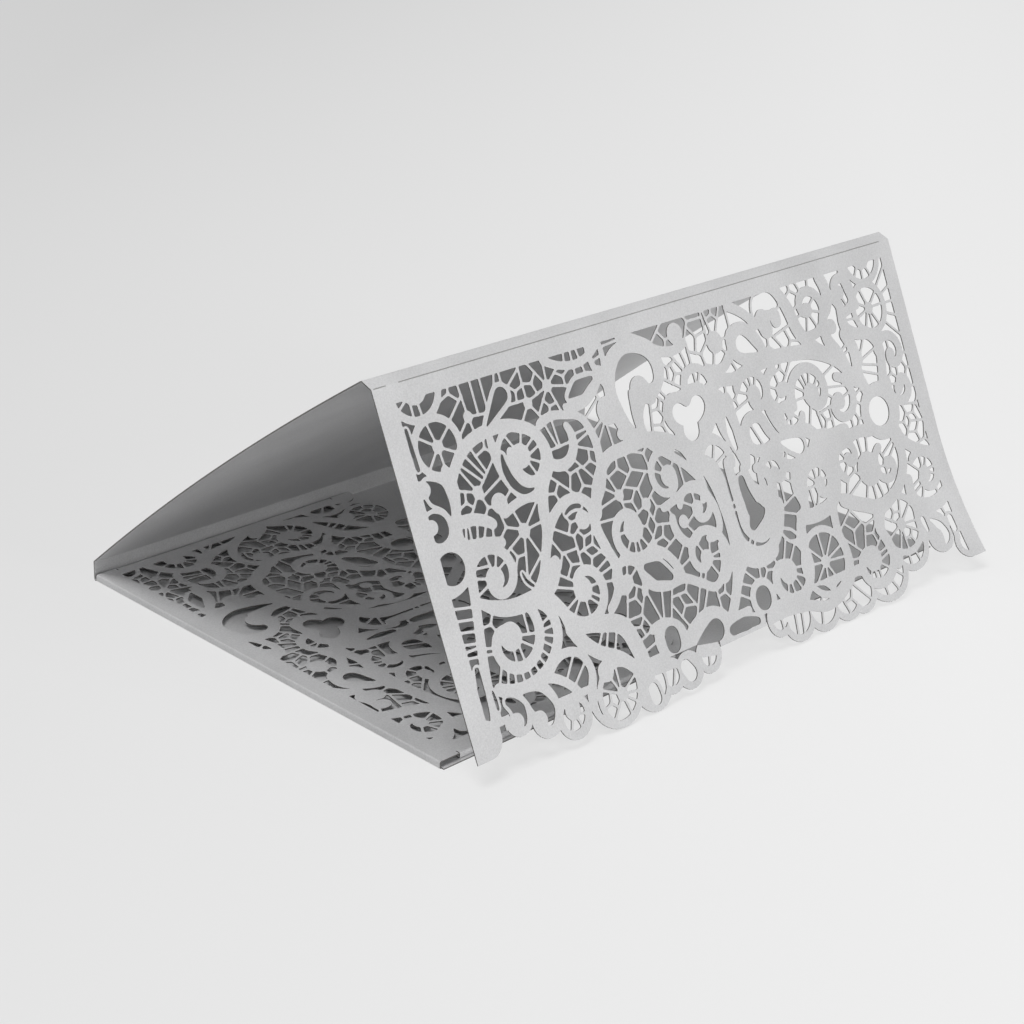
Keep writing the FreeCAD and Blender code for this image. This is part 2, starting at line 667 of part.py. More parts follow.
def flap(crease, down):
    """Lace flap in its place, from its root at the crease to the lobes on the table."""
    lace = draw_lace(left_border, card_width - right_border, top_border)
    holes = hole_outlines(lace, flap_holes)
    outline = flap_outline()
    start, along = curl_line()
    away = Vector(-along.y, along.x, 0) * -1
    flat = outline.common(half_plane(start, along, away * -1)).Faces[0]
    flat = lace_panel(flat, [h for h in holes if reaches(h, start, away * -1)])
    flat = flat.extrude(Vector(0, 0, sheet))
    flat.translate(Vector(0, 0, -sheet / 2))
    curl = outline.common(half_plane(start, along, away)).Faces[0]
    curl = lace_panel(curl, [h for h in holes if reaches(h, start, away)])
    curl = curl.extrude(Vector(0, 0, curl_depth))
    curl.translate(Vector(0, 0, sheet - curl_depth))
    whole = flat.fuse(curled_sheet().common(curl))
    inward = quarter_turn(down)
    whole.Placement = FreeCAD.Placement(FreeCAD.Matrix(
        1, 0, 0, -card_width / 2,
        0, down.y, inward.y, crease.y,
        0, down.z, inward.z, crease.z,
        0, 0, 0, 1))
    return whole


def score(crease, down):
    """Two fine grooves in line along the outside of the flap's crease."""
    across = heading(-(flap_lean(crease) + ridge_drop_angle) / 2)
    out = quarter_turn(across) * -1
    corner = crease + out * (sheet / 2)
    grooves = []
    for left, right in ((score_start, score_gap_from), (score_gap_to, card_width - score_end)):
        groove = Part.makeBox(right - left, score_width, score_depth * 2)
        groove.Placement = FreeCAD.Placement(FreeCAD.Matrix(
            1, 0, 0, left - card_width / 2,
            0, across.y, out.y, corner.y - across.y * score_width / 2 - out.y * score_depth,
            0, across.z, out.z, corner.z - across.z * score_width / 2 - out.z * score_depth,
            0, 0, 0, 1))
        grooves.append(groove)
    return grooves


# --- Pocket ---------------------------------------------------------------------------------------------

def pocket_panel():
    """Lace panel over the left end of the base, with the lobes of its mouth to the right."""
    rear = pocket_rear_at
    front = rear + base_depth - 2 * pocket_side_gap
    lace = draw_lace(
        rear + pocket_rear_border, front - pocket_front_border, pocket_fold_at + pocket_fold_border)
    outline = lobes_between(rear, front)
    outline = outline.common(rectangle(rear, pocket_fold_at, front, flap_reach * 2)).Faces[0]
    panel = lace_panel(outline, hole_outlines(lace, pocket_holes)).extrude(Vector(0, 0, sheet))
    panel.Placement = FreeCAD.Placement(FreeCAD.Matrix(
        0, 1, 0, -card_width / 2 - pocket_fold_at,
        -1, 0, 0, base_depth / 2 - pocket_side_gap + rear,
        0, 0, 1, pocket_height - sheet,
        0, 0, 0, 1))
    return panel


def pocket_side(side):
    """Narrow side wall of the pocket and the glue tab that turns in from it, mitred at the fold."""
    left = -card_width / 2 + tab_setback
    right = left + tab_length
    outer = side * (base_depth / 2 - pocket_side_gap)
    wall = Part.makeBox(tab_length, sheet, pocket_height - sheet)
    wall.translate(Vector(left, min(outer, outer - side * sheet), sheet))
    inner = outer - side * tab_width
    tab = polygon([
        Vector(left, outer, sheet),
        Vector(right, outer, sheet),
        Vector(right, inner, sheet),
        Vector(left + tab_mitre, inner, sheet),
    ])
    return [wall, tab.extrude(Vector(0, 0, sheet))]


def pocket():
    """Lace panel, the fold that carries it at the base's left end, and a side wall and tab each side."""
    width = base_depth - 2 * pocket_side_gap
    fold = Part.makeBox(sheet, width, pocket_height)
    fold.translate(Vector(-card_width / 2, -width / 2, 0))
    return [pocket_panel(), fold] + pocket_side(1) + pocket_side(-1)


# --- The whole sheet ------------------------------------------------------------------------------------

def pocket_card():
    """The folded sheet as one solid."""
    crease = fold_corners()[-1]
    down = heading(-flap_lean(crease))
    whole = folded_panels(down).multiFuse([flap(crease, down)] + pocket())
    return whole.cut(score(crease, down)).removeSplitter()


os.makedirs("parts", exist_ok=True)
pocket_card().exportStep("parts/pocket_card.step")
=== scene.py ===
"""Laser-cut pocket fold card, standing as a tent: the look of the sheet over its CAD part.

The card is one sheet. Its flat blank is drawn in mm and cut, then folded into place:
the base panel, rear spine, bowed back panel, ridge spine and lace flap in a row, and the lace
pocket panel with its two glue tabs on the base's left end. The blank's p runs along the ridge,
its q from the base's front edge to the flap's lobes.
The lace is drawn once, with u to the right along the flap's crease and v away from the crease.
"""

import logging
import math
from collections.abc import Callable, Iterable
from dataclasses import dataclass, field
from enum import Enum, IntEnum
from typing import ClassVar

import bmesh
import bpy
import numpy as np
from mathutils import Matrix, Vector

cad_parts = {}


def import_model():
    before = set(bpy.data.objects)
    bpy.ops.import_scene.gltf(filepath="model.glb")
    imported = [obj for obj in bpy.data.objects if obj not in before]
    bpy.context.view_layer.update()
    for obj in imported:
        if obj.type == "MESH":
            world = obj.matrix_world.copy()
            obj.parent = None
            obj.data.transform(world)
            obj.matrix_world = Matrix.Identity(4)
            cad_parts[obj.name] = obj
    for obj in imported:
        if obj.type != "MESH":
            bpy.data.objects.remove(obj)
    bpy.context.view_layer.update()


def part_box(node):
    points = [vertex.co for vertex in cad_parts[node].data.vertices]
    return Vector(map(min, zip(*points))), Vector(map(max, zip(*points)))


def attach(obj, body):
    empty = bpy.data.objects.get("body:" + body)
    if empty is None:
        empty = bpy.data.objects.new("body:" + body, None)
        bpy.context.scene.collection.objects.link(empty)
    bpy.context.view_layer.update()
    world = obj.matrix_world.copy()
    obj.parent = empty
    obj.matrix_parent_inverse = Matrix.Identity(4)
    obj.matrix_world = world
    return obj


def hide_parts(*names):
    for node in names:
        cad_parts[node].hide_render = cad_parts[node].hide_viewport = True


LOG = logging.getLogger("pocket_card")
MM = 0.001
NODE = "pocket_card"

Point = tuple[float, float]
# The points of a stroke of card, each with the stroke's half width there
Stroke = tuple[tuple[float, float, float], ...]


# --- The drawing of the lace, in mm -------------------------------------------------------------------

@dataclass(frozen=True)
class Disc:
    """A round spot of card or a lobe of the mouth."""

    u: float
    v: float
    radius: float


@dataclass(frozen=True)
class Rosette:
    """An eye of card held by spokes, within an open field and, where it has one, a ring."""

    u: float
    v: float
    eye: float
    field: float
    ring: float
    spokes: int
    phase: float


@dataclass(frozen=True)
class Spiral:
    """A scroll that winds in to a round eye. Angles are in degrees, from +u towards +v."""

    STEP: ClassVar[float] = 30.0
    WOUND_IN: ClassVar[float] = 0.9

    u: float
    v: float
    eye: float
    reach: float
    start: float
    sweep: float
    half: float = 1.05

    def stroke(self) -> Stroke:
        """The scroll as a stroke, from its outer end to the middle of its eye.

        Returns:
            Its points, a step of angle apart, which wind in ever faster.
        """
        steps = int(abs(self.sweep) / self.STEP)
        points = []
        for k in range(steps + 1):
            t = k / steps
            angle = math.radians(self.start + self.sweep * t)
            radius = self.reach * (1 - self.WOUND_IN * t * t)
            points.append((self.u + radius * math.cos(angle), self.v + radius * math.sin(angle), self.half))
        return tuple(points)


@dataclass(frozen=True)
class Opening:
    """A clear opening that no bar crosses, with a rim of card round it."""

    rim: float
    stroke: Stroke


# Rosettes: place, radius of the eye, radius of the open field, width of the ring, spokes and the
# angle of the first one in degrees
ROSETTES: tuple[Rosette, ...] = (
    Rosette(13.0, 15.3, eye=1.5, field=5.3, ring=1.8, spokes=6, phase=22),
    Rosette(10.6, 2.0, eye=3.6, field=6.0, ring=1.8, spokes=6, phase=20),
    Rosette(23.3, 11.2, eye=1.3, field=4.4, ring=0.0, spokes=6, phase=15),
    Rosette(41.0, 12.3, eye=1.3, field=5.2, ring=0.0, spokes=6, phase=0),
    Rosette(47.9, 9.9, eye=1.4, field=5.0, ring=0.0, spokes=7, phase=20),
    Rosette(34.8, 22.7, eye=2.8, field=5.8, ring=1.6, spokes=7, phase=30),
    Rosette(20.3, 27.2, eye=1.5, field=4.3, ring=0.0, spokes=6, phase=10),
    Rosette(30.0, 38.3, eye=1.7, field=6.0, ring=0.0, spokes=7, phase=5),
    Rosette(60.3, 38.3, eye=1.4, field=4.0, ring=0.0, spokes=6, phase=0),
    Rosette(67.8, 42.3, eye=1.5, field=5.0, ring=0.0, spokes=7, phase=10),
    Rosette(63.8, 19.3, eye=3.3, field=7.2, ring=0.0, spokes=9, phase=0),
    Rosette(104.0, 11.9, eye=2.7, field=5.3, ring=0.0, spokes=7, phase=0),
    Rosette(123.0, 12.6, eye=2.4, field=5.4, ring=0.0, spokes=8, phase=10),
    Rosette(163.2, 15.4, eye=1.5, field=5.3, ring=1.8, spokes=7, phase=0),
    Rosette(164.6, 2.0, eye=3.6, field=6.0, ring=1.8, spokes=6, phase=10),
    Rosette(122.0, 71.3, eye=1.5, field=7.2, ring=1.8, spokes=14, phase=0),
    Rosette(147.0, 54.0, eye=4.4, field=7.2, ring=0.0, spokes=9, phase=0),
    Rosette(153.5, 70.3, eye=1.6, field=6.4, ring=1.8, spokes=9, phase=0),
    Rosette(45.0, 80.2, eye=1.6, field=6.0, ring=1.6, spokes=9, phase=0),
)

# Spirals: place, radius of the eye, the scroll's reach, its first angle, its sweep and its half width
SPIRALS: tuple[Spiral, ...] = (
    Spiral(18.4, 45.8, eye=2.6, reach=6.8, start=200, sweep=330),
    Spiral(18.2, 58.6, eye=3.2, reach=8.6, start=-45, sweep=300, half=1.2),
    Spiral(42.0, 55.0, eye=2.8, reach=7.4, start=143, sweep=-300, half=1.1),
    Spiral(61.8, 46.5, eye=3.1, reach=7.0, start=45, sweep=300, half=1.1),
    Spiral(55.6, 57.4, eye=1.9, reach=5.6, start=40, sweep=-320, half=0.9),
    Spiral(77.2, 38.0, eye=2.6, reach=6.2, start=-60, sweep=-300, half=0.9),
    Spiral(83.6, 47.4, eye=1.9, reach=5.8, start=200, sweep=310, half=0.9),
    Spiral(82.2, 59.2, eye=2.1, reach=7.6, start=55, sweep=-330, half=1.0),
    Spiral(108.0, 69.8, eye=3.1, reach=8.6, start=-60, sweep=330, half=1.3),
    Spiral(127.4, 53.0, eye=2.0, reach=6.0, start=170, sweep=330, half=1.1),
    Spiral(139.5, 75.4, eye=3.3, reach=8.0, start=-50, sweep=320, half=1.2),
    Spiral(168.0, 60.6, eye=2.2, reach=6.0, start=230, sweep=320, half=1.0),
    Spiral(133.0, 31.5, eye=2.9, reach=7.6, start=170, sweep=320, half=1.2),
    Spiral(139.6, 11.2, eye=1.8, reach=6.4, start=100, sweep=-320, half=1.1),
    Spiral(112.6, 26.8, eye=2.4, reach=6.0, start=205, sweep=320, half=1.1),
    Spiral(122.6, 28.0, eye=1.9, reach=5.6, start=-100, sweep=-320, half=1.1),
    Spiral(123.5, 33.8, eye=1.6, reach=4.6, start=20, sweep=300, half=1.0),
    Spiral(142.6, 35.2, eye=2.2, reach=6.0, start=-80, sweep=300, half=1.1),
    Spiral(140.4, 49.8, eye=1.7, reach=5.2, start=120, sweep=320, half=1.0),
    Spiral(154.6, 54.4, eye=1.6, reach=5.0, start=-110, sweep=-300, half=1.0),
    Spiral(166.9, 28.4, eye=1.7, reach=5.2, start=200, sweep=310, half=1.1),
    Spiral(167.6, 36.4, eye=1.6, reach=4.8, start=200, sweep=-300, half=1.1),
    Spiral(112.6, 46.6, eye=1.9, reach=5.4, start=150, sweep=300, half=1.0),
    Spiral(153.4, 9.4, eye=1.7, reach=5.2, start=110, sweep=-310, half=1.1),
    Spiral(29.6, 78.8, eye=2.3, reach=6.2, start=180, sweep=-310, half=1.0),
)

# Solid spots where scrolls meet
SPOTS: tuple[Disc, ...] = (
    Disc(25.3, 30.9, 2.3),
    Disc(47.5, 40.5, 2.2),
    Disc(42.0, 74.0, 2.4),
    Disc(66.0, 25.4, 1.3),
    Disc(153.5, 26.6, 2.2),
    Disc(147.0, 17.0, 1.9),
    Disc(122.6, 10.0, 2.4),
    Disc(115.5, 42.5, 1.6),
    Disc(166.5, 37.5, 1.6),
    Disc(91.5, 7.2, 2.6),
    Disc(78.0, 49.2, 1.6),
)

# Lobes of the mouth, which is the flap's free edge
LOBES: tuple[Disc, ...] = (
    Disc(14.2, 75.6, 4.0),
    Disc(22.0, 78.0, 4.6),
    Disc(29.7, 80.3, 5.2),
    Disc(43.3, 78.8, 8.6),
    Disc(54.8, 81.4, 6.0),
    Disc(61.3, 81.2, 4.2),
    Disc(67.3, 81.7, 4.5),
    Disc(74.5, 80.4, 4.3),
    Disc(84.0, 75.0, 4.8),
    Disc(91.0, 75.0, 4.8),
    Disc(101.0, 79.5, 4.6),
    Disc(107.5, 81.2, 6.0),
    Disc(117.0, 80.9, 6.6),
    Disc(126.0, 81.5, 6.0),
    Disc(132.0, 81.8, 5.6),
    Disc(142.5, 78.9, 8.6),
    Disc(154.0, 75.8, 7.0),
    Disc(165.8, 77.0, 4.4),
)

# Scrolls, leaves and bands of card
SCROLLS: tuple[Stroke, ...] = (
    ((14.4, 23.0, 1.0), (20.5, 17.0, 1.2), (27.0, 15.3, 1.2), (35.0, 15.9, 1.2), (41.0, 19.5, 1.2),
     (42.3, 25.5, 1.3), (38.8, 30.6, 1.3), (37.0, 35.5, 1.3), (36.5, 40.0, 1.3), (34.6, 44.0, 1.1),
     (31.5, 49.5, 1.1), (28.0, 52.5, 1.1)),
    ((27.6, 17.0, 0.8), (27.9, 22.0, 1.0), (29.4, 27.0, 1.0), (33.5, 31.6, 0.9), (38.0, 31.8, 0.8)),
    ((32.2, 21.0, 0.8), (33.4, 26.6, 1.0), (37.0, 28.8, 0.9), (40.6, 26.0, 0.8)),
    ((36.5, 31.9, 0.8), (30.0, 32.2, 0.8), (26.0, 33.5, 0.8)),
    ((13.2, 20.5, 1.0), (14.0, 25.0, 1.2), (12.6, 30.0, 1.3), (11.6, 34.0, 1.3), (12.4, 39.5, 1.3),
     (12.0, 45.0, 1.1), (10.8, 52.0, 1.0), (9.3, 60.0, 1.0), (8.3, 68.0, 1.0), (8.6, 76.0, 1.0)),
    ((11.5, 32.3, 1.1), (17.0, 32.3, 1.1), (22.0, 34.6, 1.0)),
    ((4.5, 34.8, 1.3), (9.5, 35.6, 1.3), (13.0, 37.2, 1.2), (19.0, 38.2, 1.2), (23.0, 39.0, 1.0)),
    ((5.0, 45.5, 0.9), (8.4, 44.9, 0.9), (12.4, 42.4, 0.9)),
    ((12.4, 49.4, 0.8), (17.0, 52.0, 1.5), (26.0, 53.0, 1.7), (33.0, 51.6, 1.6), (36.3, 47.0, 1.2)),
    ((26.5, 53.0, 1.3), (30.8, 56.5, 1.1), (31.6, 61.0, 1.1), (28.0, 66.8, 1.1), (20.0, 70.0, 1.2),
     (11.0, 68.2, 1.2)),
    ((31.0, 53.0, 1.0), (34.6, 58.0, 1.3), (36.5, 64.0, 1.6), (41.0, 69.0, 1.4), (48.0, 73.0, 1.3),
     (52.0, 77.0, 1.3)),
    ((35.0, 62.5, 1.2), (44.0, 63.6, 1.7), (50.5, 66.0, 1.9), (53.2, 72.0, 1.9), (54.4, 79.0, 1.6)),
    ((36.2, 41.0, 1.2), (40.0, 37.2, 1.0), (44.5, 35.2, 0.9), (48.5, 35.9, 1.0), (51.0, 38.6, 1.2),
     (50.8, 43.0, 1.2), (52.3, 49.0, 1.2), (53.6, 53.0, 1.2), (52.0, 58.5, 1.0), (48.5, 61.6, 0.9)),
    ((43.0, 26.6, 1.1), (48.5, 27.0, 1.1), (51.0, 23.4, 1.0), (50.2, 19.5, 0.7)),
    ((42.5, 17.6, 0.9), (46.5, 16.5, 0.8), (50.5, 17.2, 0.7), (55.0, 18.8, 0.7), (57.2, 23.0, 0.9),
     (57.4, 29.0, 1.0)),
    ((14.0, 69.2, 1.0), (16.2, 73.5, 0.9), (16.8, 77.5, 0.9)),
    ((21.0, 70.0, 1.0), (24.5, 73.2, 0.9), (25.5, 77.5, 0.9), (24.3, 81.5, 1.0)),
    ((24.0, 69.8, 0.9), (30.0, 72.8, 0.8), (33.8, 78.0, 0.9), (34.4, 82.5, 1.0)),
    ((26.5, 69.0, 0.8), (31.0, 66.6, 0.8), (35.5, 67.6, 0.8), (38.0, 72.0, 0.8), (36.3, 77.5, 1.1),
     (35.0, 82.0, 1.2)),
    ((52.2, 40.5, 1.3), (55.6, 33.0, 1.3), (59.5, 29.5, 1.3), (66.0, 28.6, 1.4), (75.0, 28.6, 1.4),
     (83.0, 31.8, 1.3), (89.5, 39.5, 1.3), (92.4, 50.0, 1.3), (92.2, 60.0, 1.3), (89.0, 69.0, 1.3),
     (84.5, 75.0, 1.2)),
    ((66.2, 15.5, 1.5), (69.0, 8.4, 1.3), (75.0, 6.2, 1.0), (82.0, 8.2, 1.1), (83.6, 13.5, 1.2),
     (80.5, 18.0, 1.2), (75.5, 19.0, 1.4), (72.6, 23.0, 1.4), (73.0, 28.0, 1.4)),
    ((66.2, 15.5, 1.5), (66.6, 21.5, 1.6), (69.5, 27.0, 1.6)),
    ((62.5, 3.8, 0.4), (63.8, 10.5, 0.7), (66.5, 14.5, 1.0)),
    ((66.5, 3.8, 0.5), (66.5, 9.0, 0.6), (65.5, 12.5, 0.8)),
    ((73.5, 4.2, 1.2), (78.5, 6.2, 1.2), (84.0, 9.6, 1.0), (88.5, 10.8, 0.9), (93.5, 9.8, 0.9)),
    ((48.5, 4.2, 0.8), (53.8, 6.6, 0.7), (59.5, 7.0, 0.7), (66.0, 3.9, 0.7)),
    ((51.5, 15.6, 0.7), (56.0, 16.2, 0.8), (61.0, 14.0, 0.9), (64.5, 10.0, 1.0)),
    ((57.4, 29.0, 1.0), (56.6, 33.5, 0.9), (53.5, 37.5, 0.9)),
    ((74.0, 29.6, 1.1), (79.0, 33.4, 0.9), (84.2, 37.8, 0.9), (87.4, 43.0, 1.0), (86.2, 46.0, 0.9)),
    ((72.8, 44.6, 0.8), (77.5, 43.6, 0.8), (82.0, 42.4, 0.8), (86.5, 44.2, 0.9), (89.3, 49.0, 0.9),
     (88.3, 54.5, 0.8), (84.5, 55.0, 0.7)),
    ((74.8, 47.5, 0.9), (75.2, 51.5, 1.0), (79.0, 54.6, 0.9), (82.4, 52.5, 0.7)),
    ((56.0, 52.2, 1.0), (61.6, 53.2, 1.0), (67.2, 53.2, 1.0), (71.8, 57.6, 1.0), (73.0, 61.2, 1.0)),
    ((60.9, 54.6, 1.0), (62.2, 59.6, 1.0), (66.5, 61.5, 0.9), (73.5, 61.6, 0.9), (78.5, 64.2, 0.9),
     (82.8, 66.2, 0.8), (87.0, 62.5, 0.8), (87.8, 57.5, 0.8)),
    ((59.0, 69.8, 0.8), (64.0, 69.5, 1.0), (67.6, 71.5, 1.0), (68.4, 75.5, 0.9), (66.0, 78.2, 0.9)),
    ((60.8, 70.5, 1.0), (60.6, 75.0, 1.0), (63.8, 78.4, 1.0)),
    ((55.5, 78.2, 1.0), (62.0, 78.6, 0.9), (70.0, 78.4, 0.9), (74.0, 79.4, 1.1)),
    ((70.5, 74.2, 1.2), (74.0, 72.3, 1.2), (79.5, 71.6, 1.3), (83.4, 74.4, 1.2), (83.2, 78.4, 1.2),
     (79.5, 80.0, 1.2), (75.0, 79.0, 1.3), (70.0, 77.2, 1.2)),
    ((82.4, 23.5, 1.1), (84.2, 21.6, 1.1), (87.8, 21.6, 1.1), (91.0, 20.9, 1.1), (95.8, 21.8, 1.1),
     (96.8, 25.8, 1.1), (93.4, 28.6, 1.1), (92.6, 32.2, 1.1), (88.6, 34.0, 1.1), (84.8, 31.8, 1.1),
     (84.0, 28.6, 1.1), (82.4, 26.0, 1.1), (82.4, 23.5, 1.1)),
    ((84.0, 31.5, 1.1), (85.6, 35.2, 1.2), (88.8, 38.2, 1.4)),
    ((93.0, 32.0, 1.0), (97.5, 28.0, 1.0), (100.2, 25.0, 1.6)),
    ((88.5, 37.8, 1.2), (92.5, 33.2, 1.2), (97.6, 35.6, 0.9), (99.0, 40.4, 1.0)),
    ((97.3, 22.3, 1.2), (101.6, 21.0, 1.3), (108.0, 21.6, 1.3), (114.0, 20.4, 1.3), (121.0, 19.8, 1.6),
     (129.0, 20.2, 1.6), (138.0, 21.8, 1.6), (146.0, 26.0, 1.4), (151.0, 32.0, 1.7)),
    ((100.2, 25.0, 2.1), (99.4, 31.5, 1.6), (101.8, 37.5, 1.0), (103.6, 42.0, 1.2)),
    ((103.0, 25.5, 1.3), (103.4, 32.0, 1.3), (104.6, 38.5, 1.2), (103.6, 42.0, 1.0)),
    ((90.0, 20.3, 0.9), (91.8, 16.8, 0.9), (96.4, 16.6, 0.8), (99.0, 20.2, 0.8)),
    ((99.3, 17.3, 1.0), (104.0, 18.4, 1.0), (109.8, 15.5, 1.2), (113.6, 19.2, 1.2)),
    ((110.0, 11.5, 1.2), (114.0, 10.4, 1.2), (118.2, 13.6, 1.2), (119.6, 18.0, 1.3)),
    ((110.0, 11.0, 1.2), (109.6, 15.5, 1.3), (113.5, 18.4, 1.3), (119.4, 18.6, 1.3)),
    ((111.2, 4.6, 1.0), (116.5, 7.6, 1.0), (119.6, 10.8, 1.2)),
    ((130.0, 4.5, 1.3), (132.5, 9.6, 1.7), (134.2, 15.4, 1.7), (138.0, 20.0, 1.6), (143.0, 23.2, 1.4)),
    ((147.0, 4.4, 1.6), (148.2, 9.0, 1.7), (146.0, 13.0, 1.4)),
    ((145.2, 13.5, 1.3), (144.2, 19.4, 1.6), (147.0, 24.0, 1.6), (149.0, 30.0, 1.6)),
    ((148.4, 9.0, 1.3), (152.0, 12.4, 1.3), (152.0, 18.0, 1.4), (155.6, 20.6, 1.3), (160.0, 21.4, 1.4),
     (163.0, 25.0, 1.4), (162.4, 30.5, 1.4), (160.6, 35.5, 1.4)),
    ((156.0, 5.0, 1.2), (157.0, 9.5, 1.2), (158.4, 13.6, 1.2)),
    ((151.0, 20.0, 1.6), (153.0, 24.0, 1.7), (152.6, 31.0, 1.4), (154.6, 36.4, 1.6)),
    ((154.6, 36.4, 1.6), (160.8, 36.5, 1.7), (163.0, 41.0, 1.6), (160.4, 46.0, 1.6),
     (155.0, 46.4, 1.6), (151.2, 42.5, 1.4), (152.2, 38.2, 1.4), (154.6, 36.4, 1.6)),
    ((161.0, 46.5, 1.4), (163.5, 51.0, 1.3), (168.0, 54.0, 1.3), (173.0, 56.0, 1.3)),
    ((116.5, 30.6, 1.3), (117.6, 34.4, 1.2), (121.0, 38.4, 1.3), (127.5, 39.2, 1.6),
     (131.5, 42.8, 1.6)),
    ((107.0, 33.0, 1.2), (112.2, 32.2, 1.3), (114.4, 36.0, 1.3), (117.2, 39.6, 1.3)),
    ((107.0, 33.0, 1.2), (106.8, 38.6, 1.2), (112.0, 40.4, 1.3), (116.5, 40.2, 1.3),
     (115.6, 43.6, 1.2), (121.0, 46.6, 1.4), (127.0, 45.6, 1.6), (131.0, 42.0, 1.6),
     (136.0, 42.6, 1.4), (142.0, 42.5, 1.4)),
    ((121.0, 46.6, 1.7), (118.6, 51.0, 1.2), (120.0, 57.0, 1.4), (116.8, 60.6, 1.4),
     (116.2, 65.0, 1.6)),
    ((131.0, 42.0, 1.6), (134.4, 46.0, 1.4), (139.0, 45.6, 1.4), (146.0, 44.2, 1.3),
     (151.0, 45.0, 1.4)),
    ((126.0, 46.0, 1.6), (132.4, 49.0, 1.6), (133.4, 54.0, 1.6), (130.6, 58.0, 1.6),
     (124.0, 59.6, 1.7), (117.6, 58.8, 1.6)),
    ((97.4, 40.0, 1.2), (97.8, 50.0, 1.4), (98.6, 57.0, 1.3), (103.0, 59.4, 1.3), (107.5, 55.5, 1.4),
     (110.2, 51.0, 1.4), (109.8, 45.5, 1.2), (106.5, 43.6, 1.0)),
    ((102.2, 42.5, 1.0), (103.6, 47.5, 1.2), (107.3, 51.6, 1.7), (104.5, 56.6, 1.3)),
    ((90.6, 37.8, 1.2), (93.5, 41.5, 1.0), (94.0, 47.0, 1.0), (94.0, 53.0, 1.2), (95.4, 59.5, 1.2),
     (99.6, 62.6, 1.2), (105.0, 62.4, 1.3), (109.2, 58.4, 1.4), (111.2, 53.5, 1.3)),
    ((92.8, 56.0, 1.3), (95.0, 63.0, 1.3), (101.0, 64.8, 1.4), (105.5, 63.5, 1.4)),
    ((134.5, 59.0, 1.6), (141.5, 62.0, 1.6), (148.0, 64.0, 1.7), (152.5, 63.0, 1.4),
     (158.0, 59.8, 1.4), (161.0, 54.5, 1.4), (160.0, 48.5, 1.4)),
    ((130.0, 59.5, 1.2), (129.4, 66.0, 1.1), (130.8, 72.0, 1.1), (129.6, 78.0, 1.1)),
    ((161.2, 60.5, 1.3), (161.2, 66.0, 1.6), (166.5, 68.6, 1.7), (173.0, 67.2, 1.6)),
    ((161.5, 66.0, 1.1), (160.4, 72.0, 1.2), (160.5, 77.0, 1.1)),
    ((146.0, 64.0, 1.1), (144.8, 68.5, 0.9), (146.5, 73.5, 1.0), (148.0, 79.5, 1.1)),
    ((163.5, 71.0, 1.0), (168.8, 73.5, 1.0), (170.3, 78.5, 1.1)),
    ((97.5, 78.6, 1.2), (104.0, 78.4, 1.3), (112.0, 79.6, 1.1), (119.0, 81.6, 1.1), (126.0, 80.0, 1.0),
     (130.5, 76.0, 1.0)),
    ((88.5, 70.0, 1.0), (92.0, 65.8, 0.8), (95.0, 63.0, 0.8)),
    ((84.4, 74.9, 0.9), (91.5, 74.6, 0.8)),
)

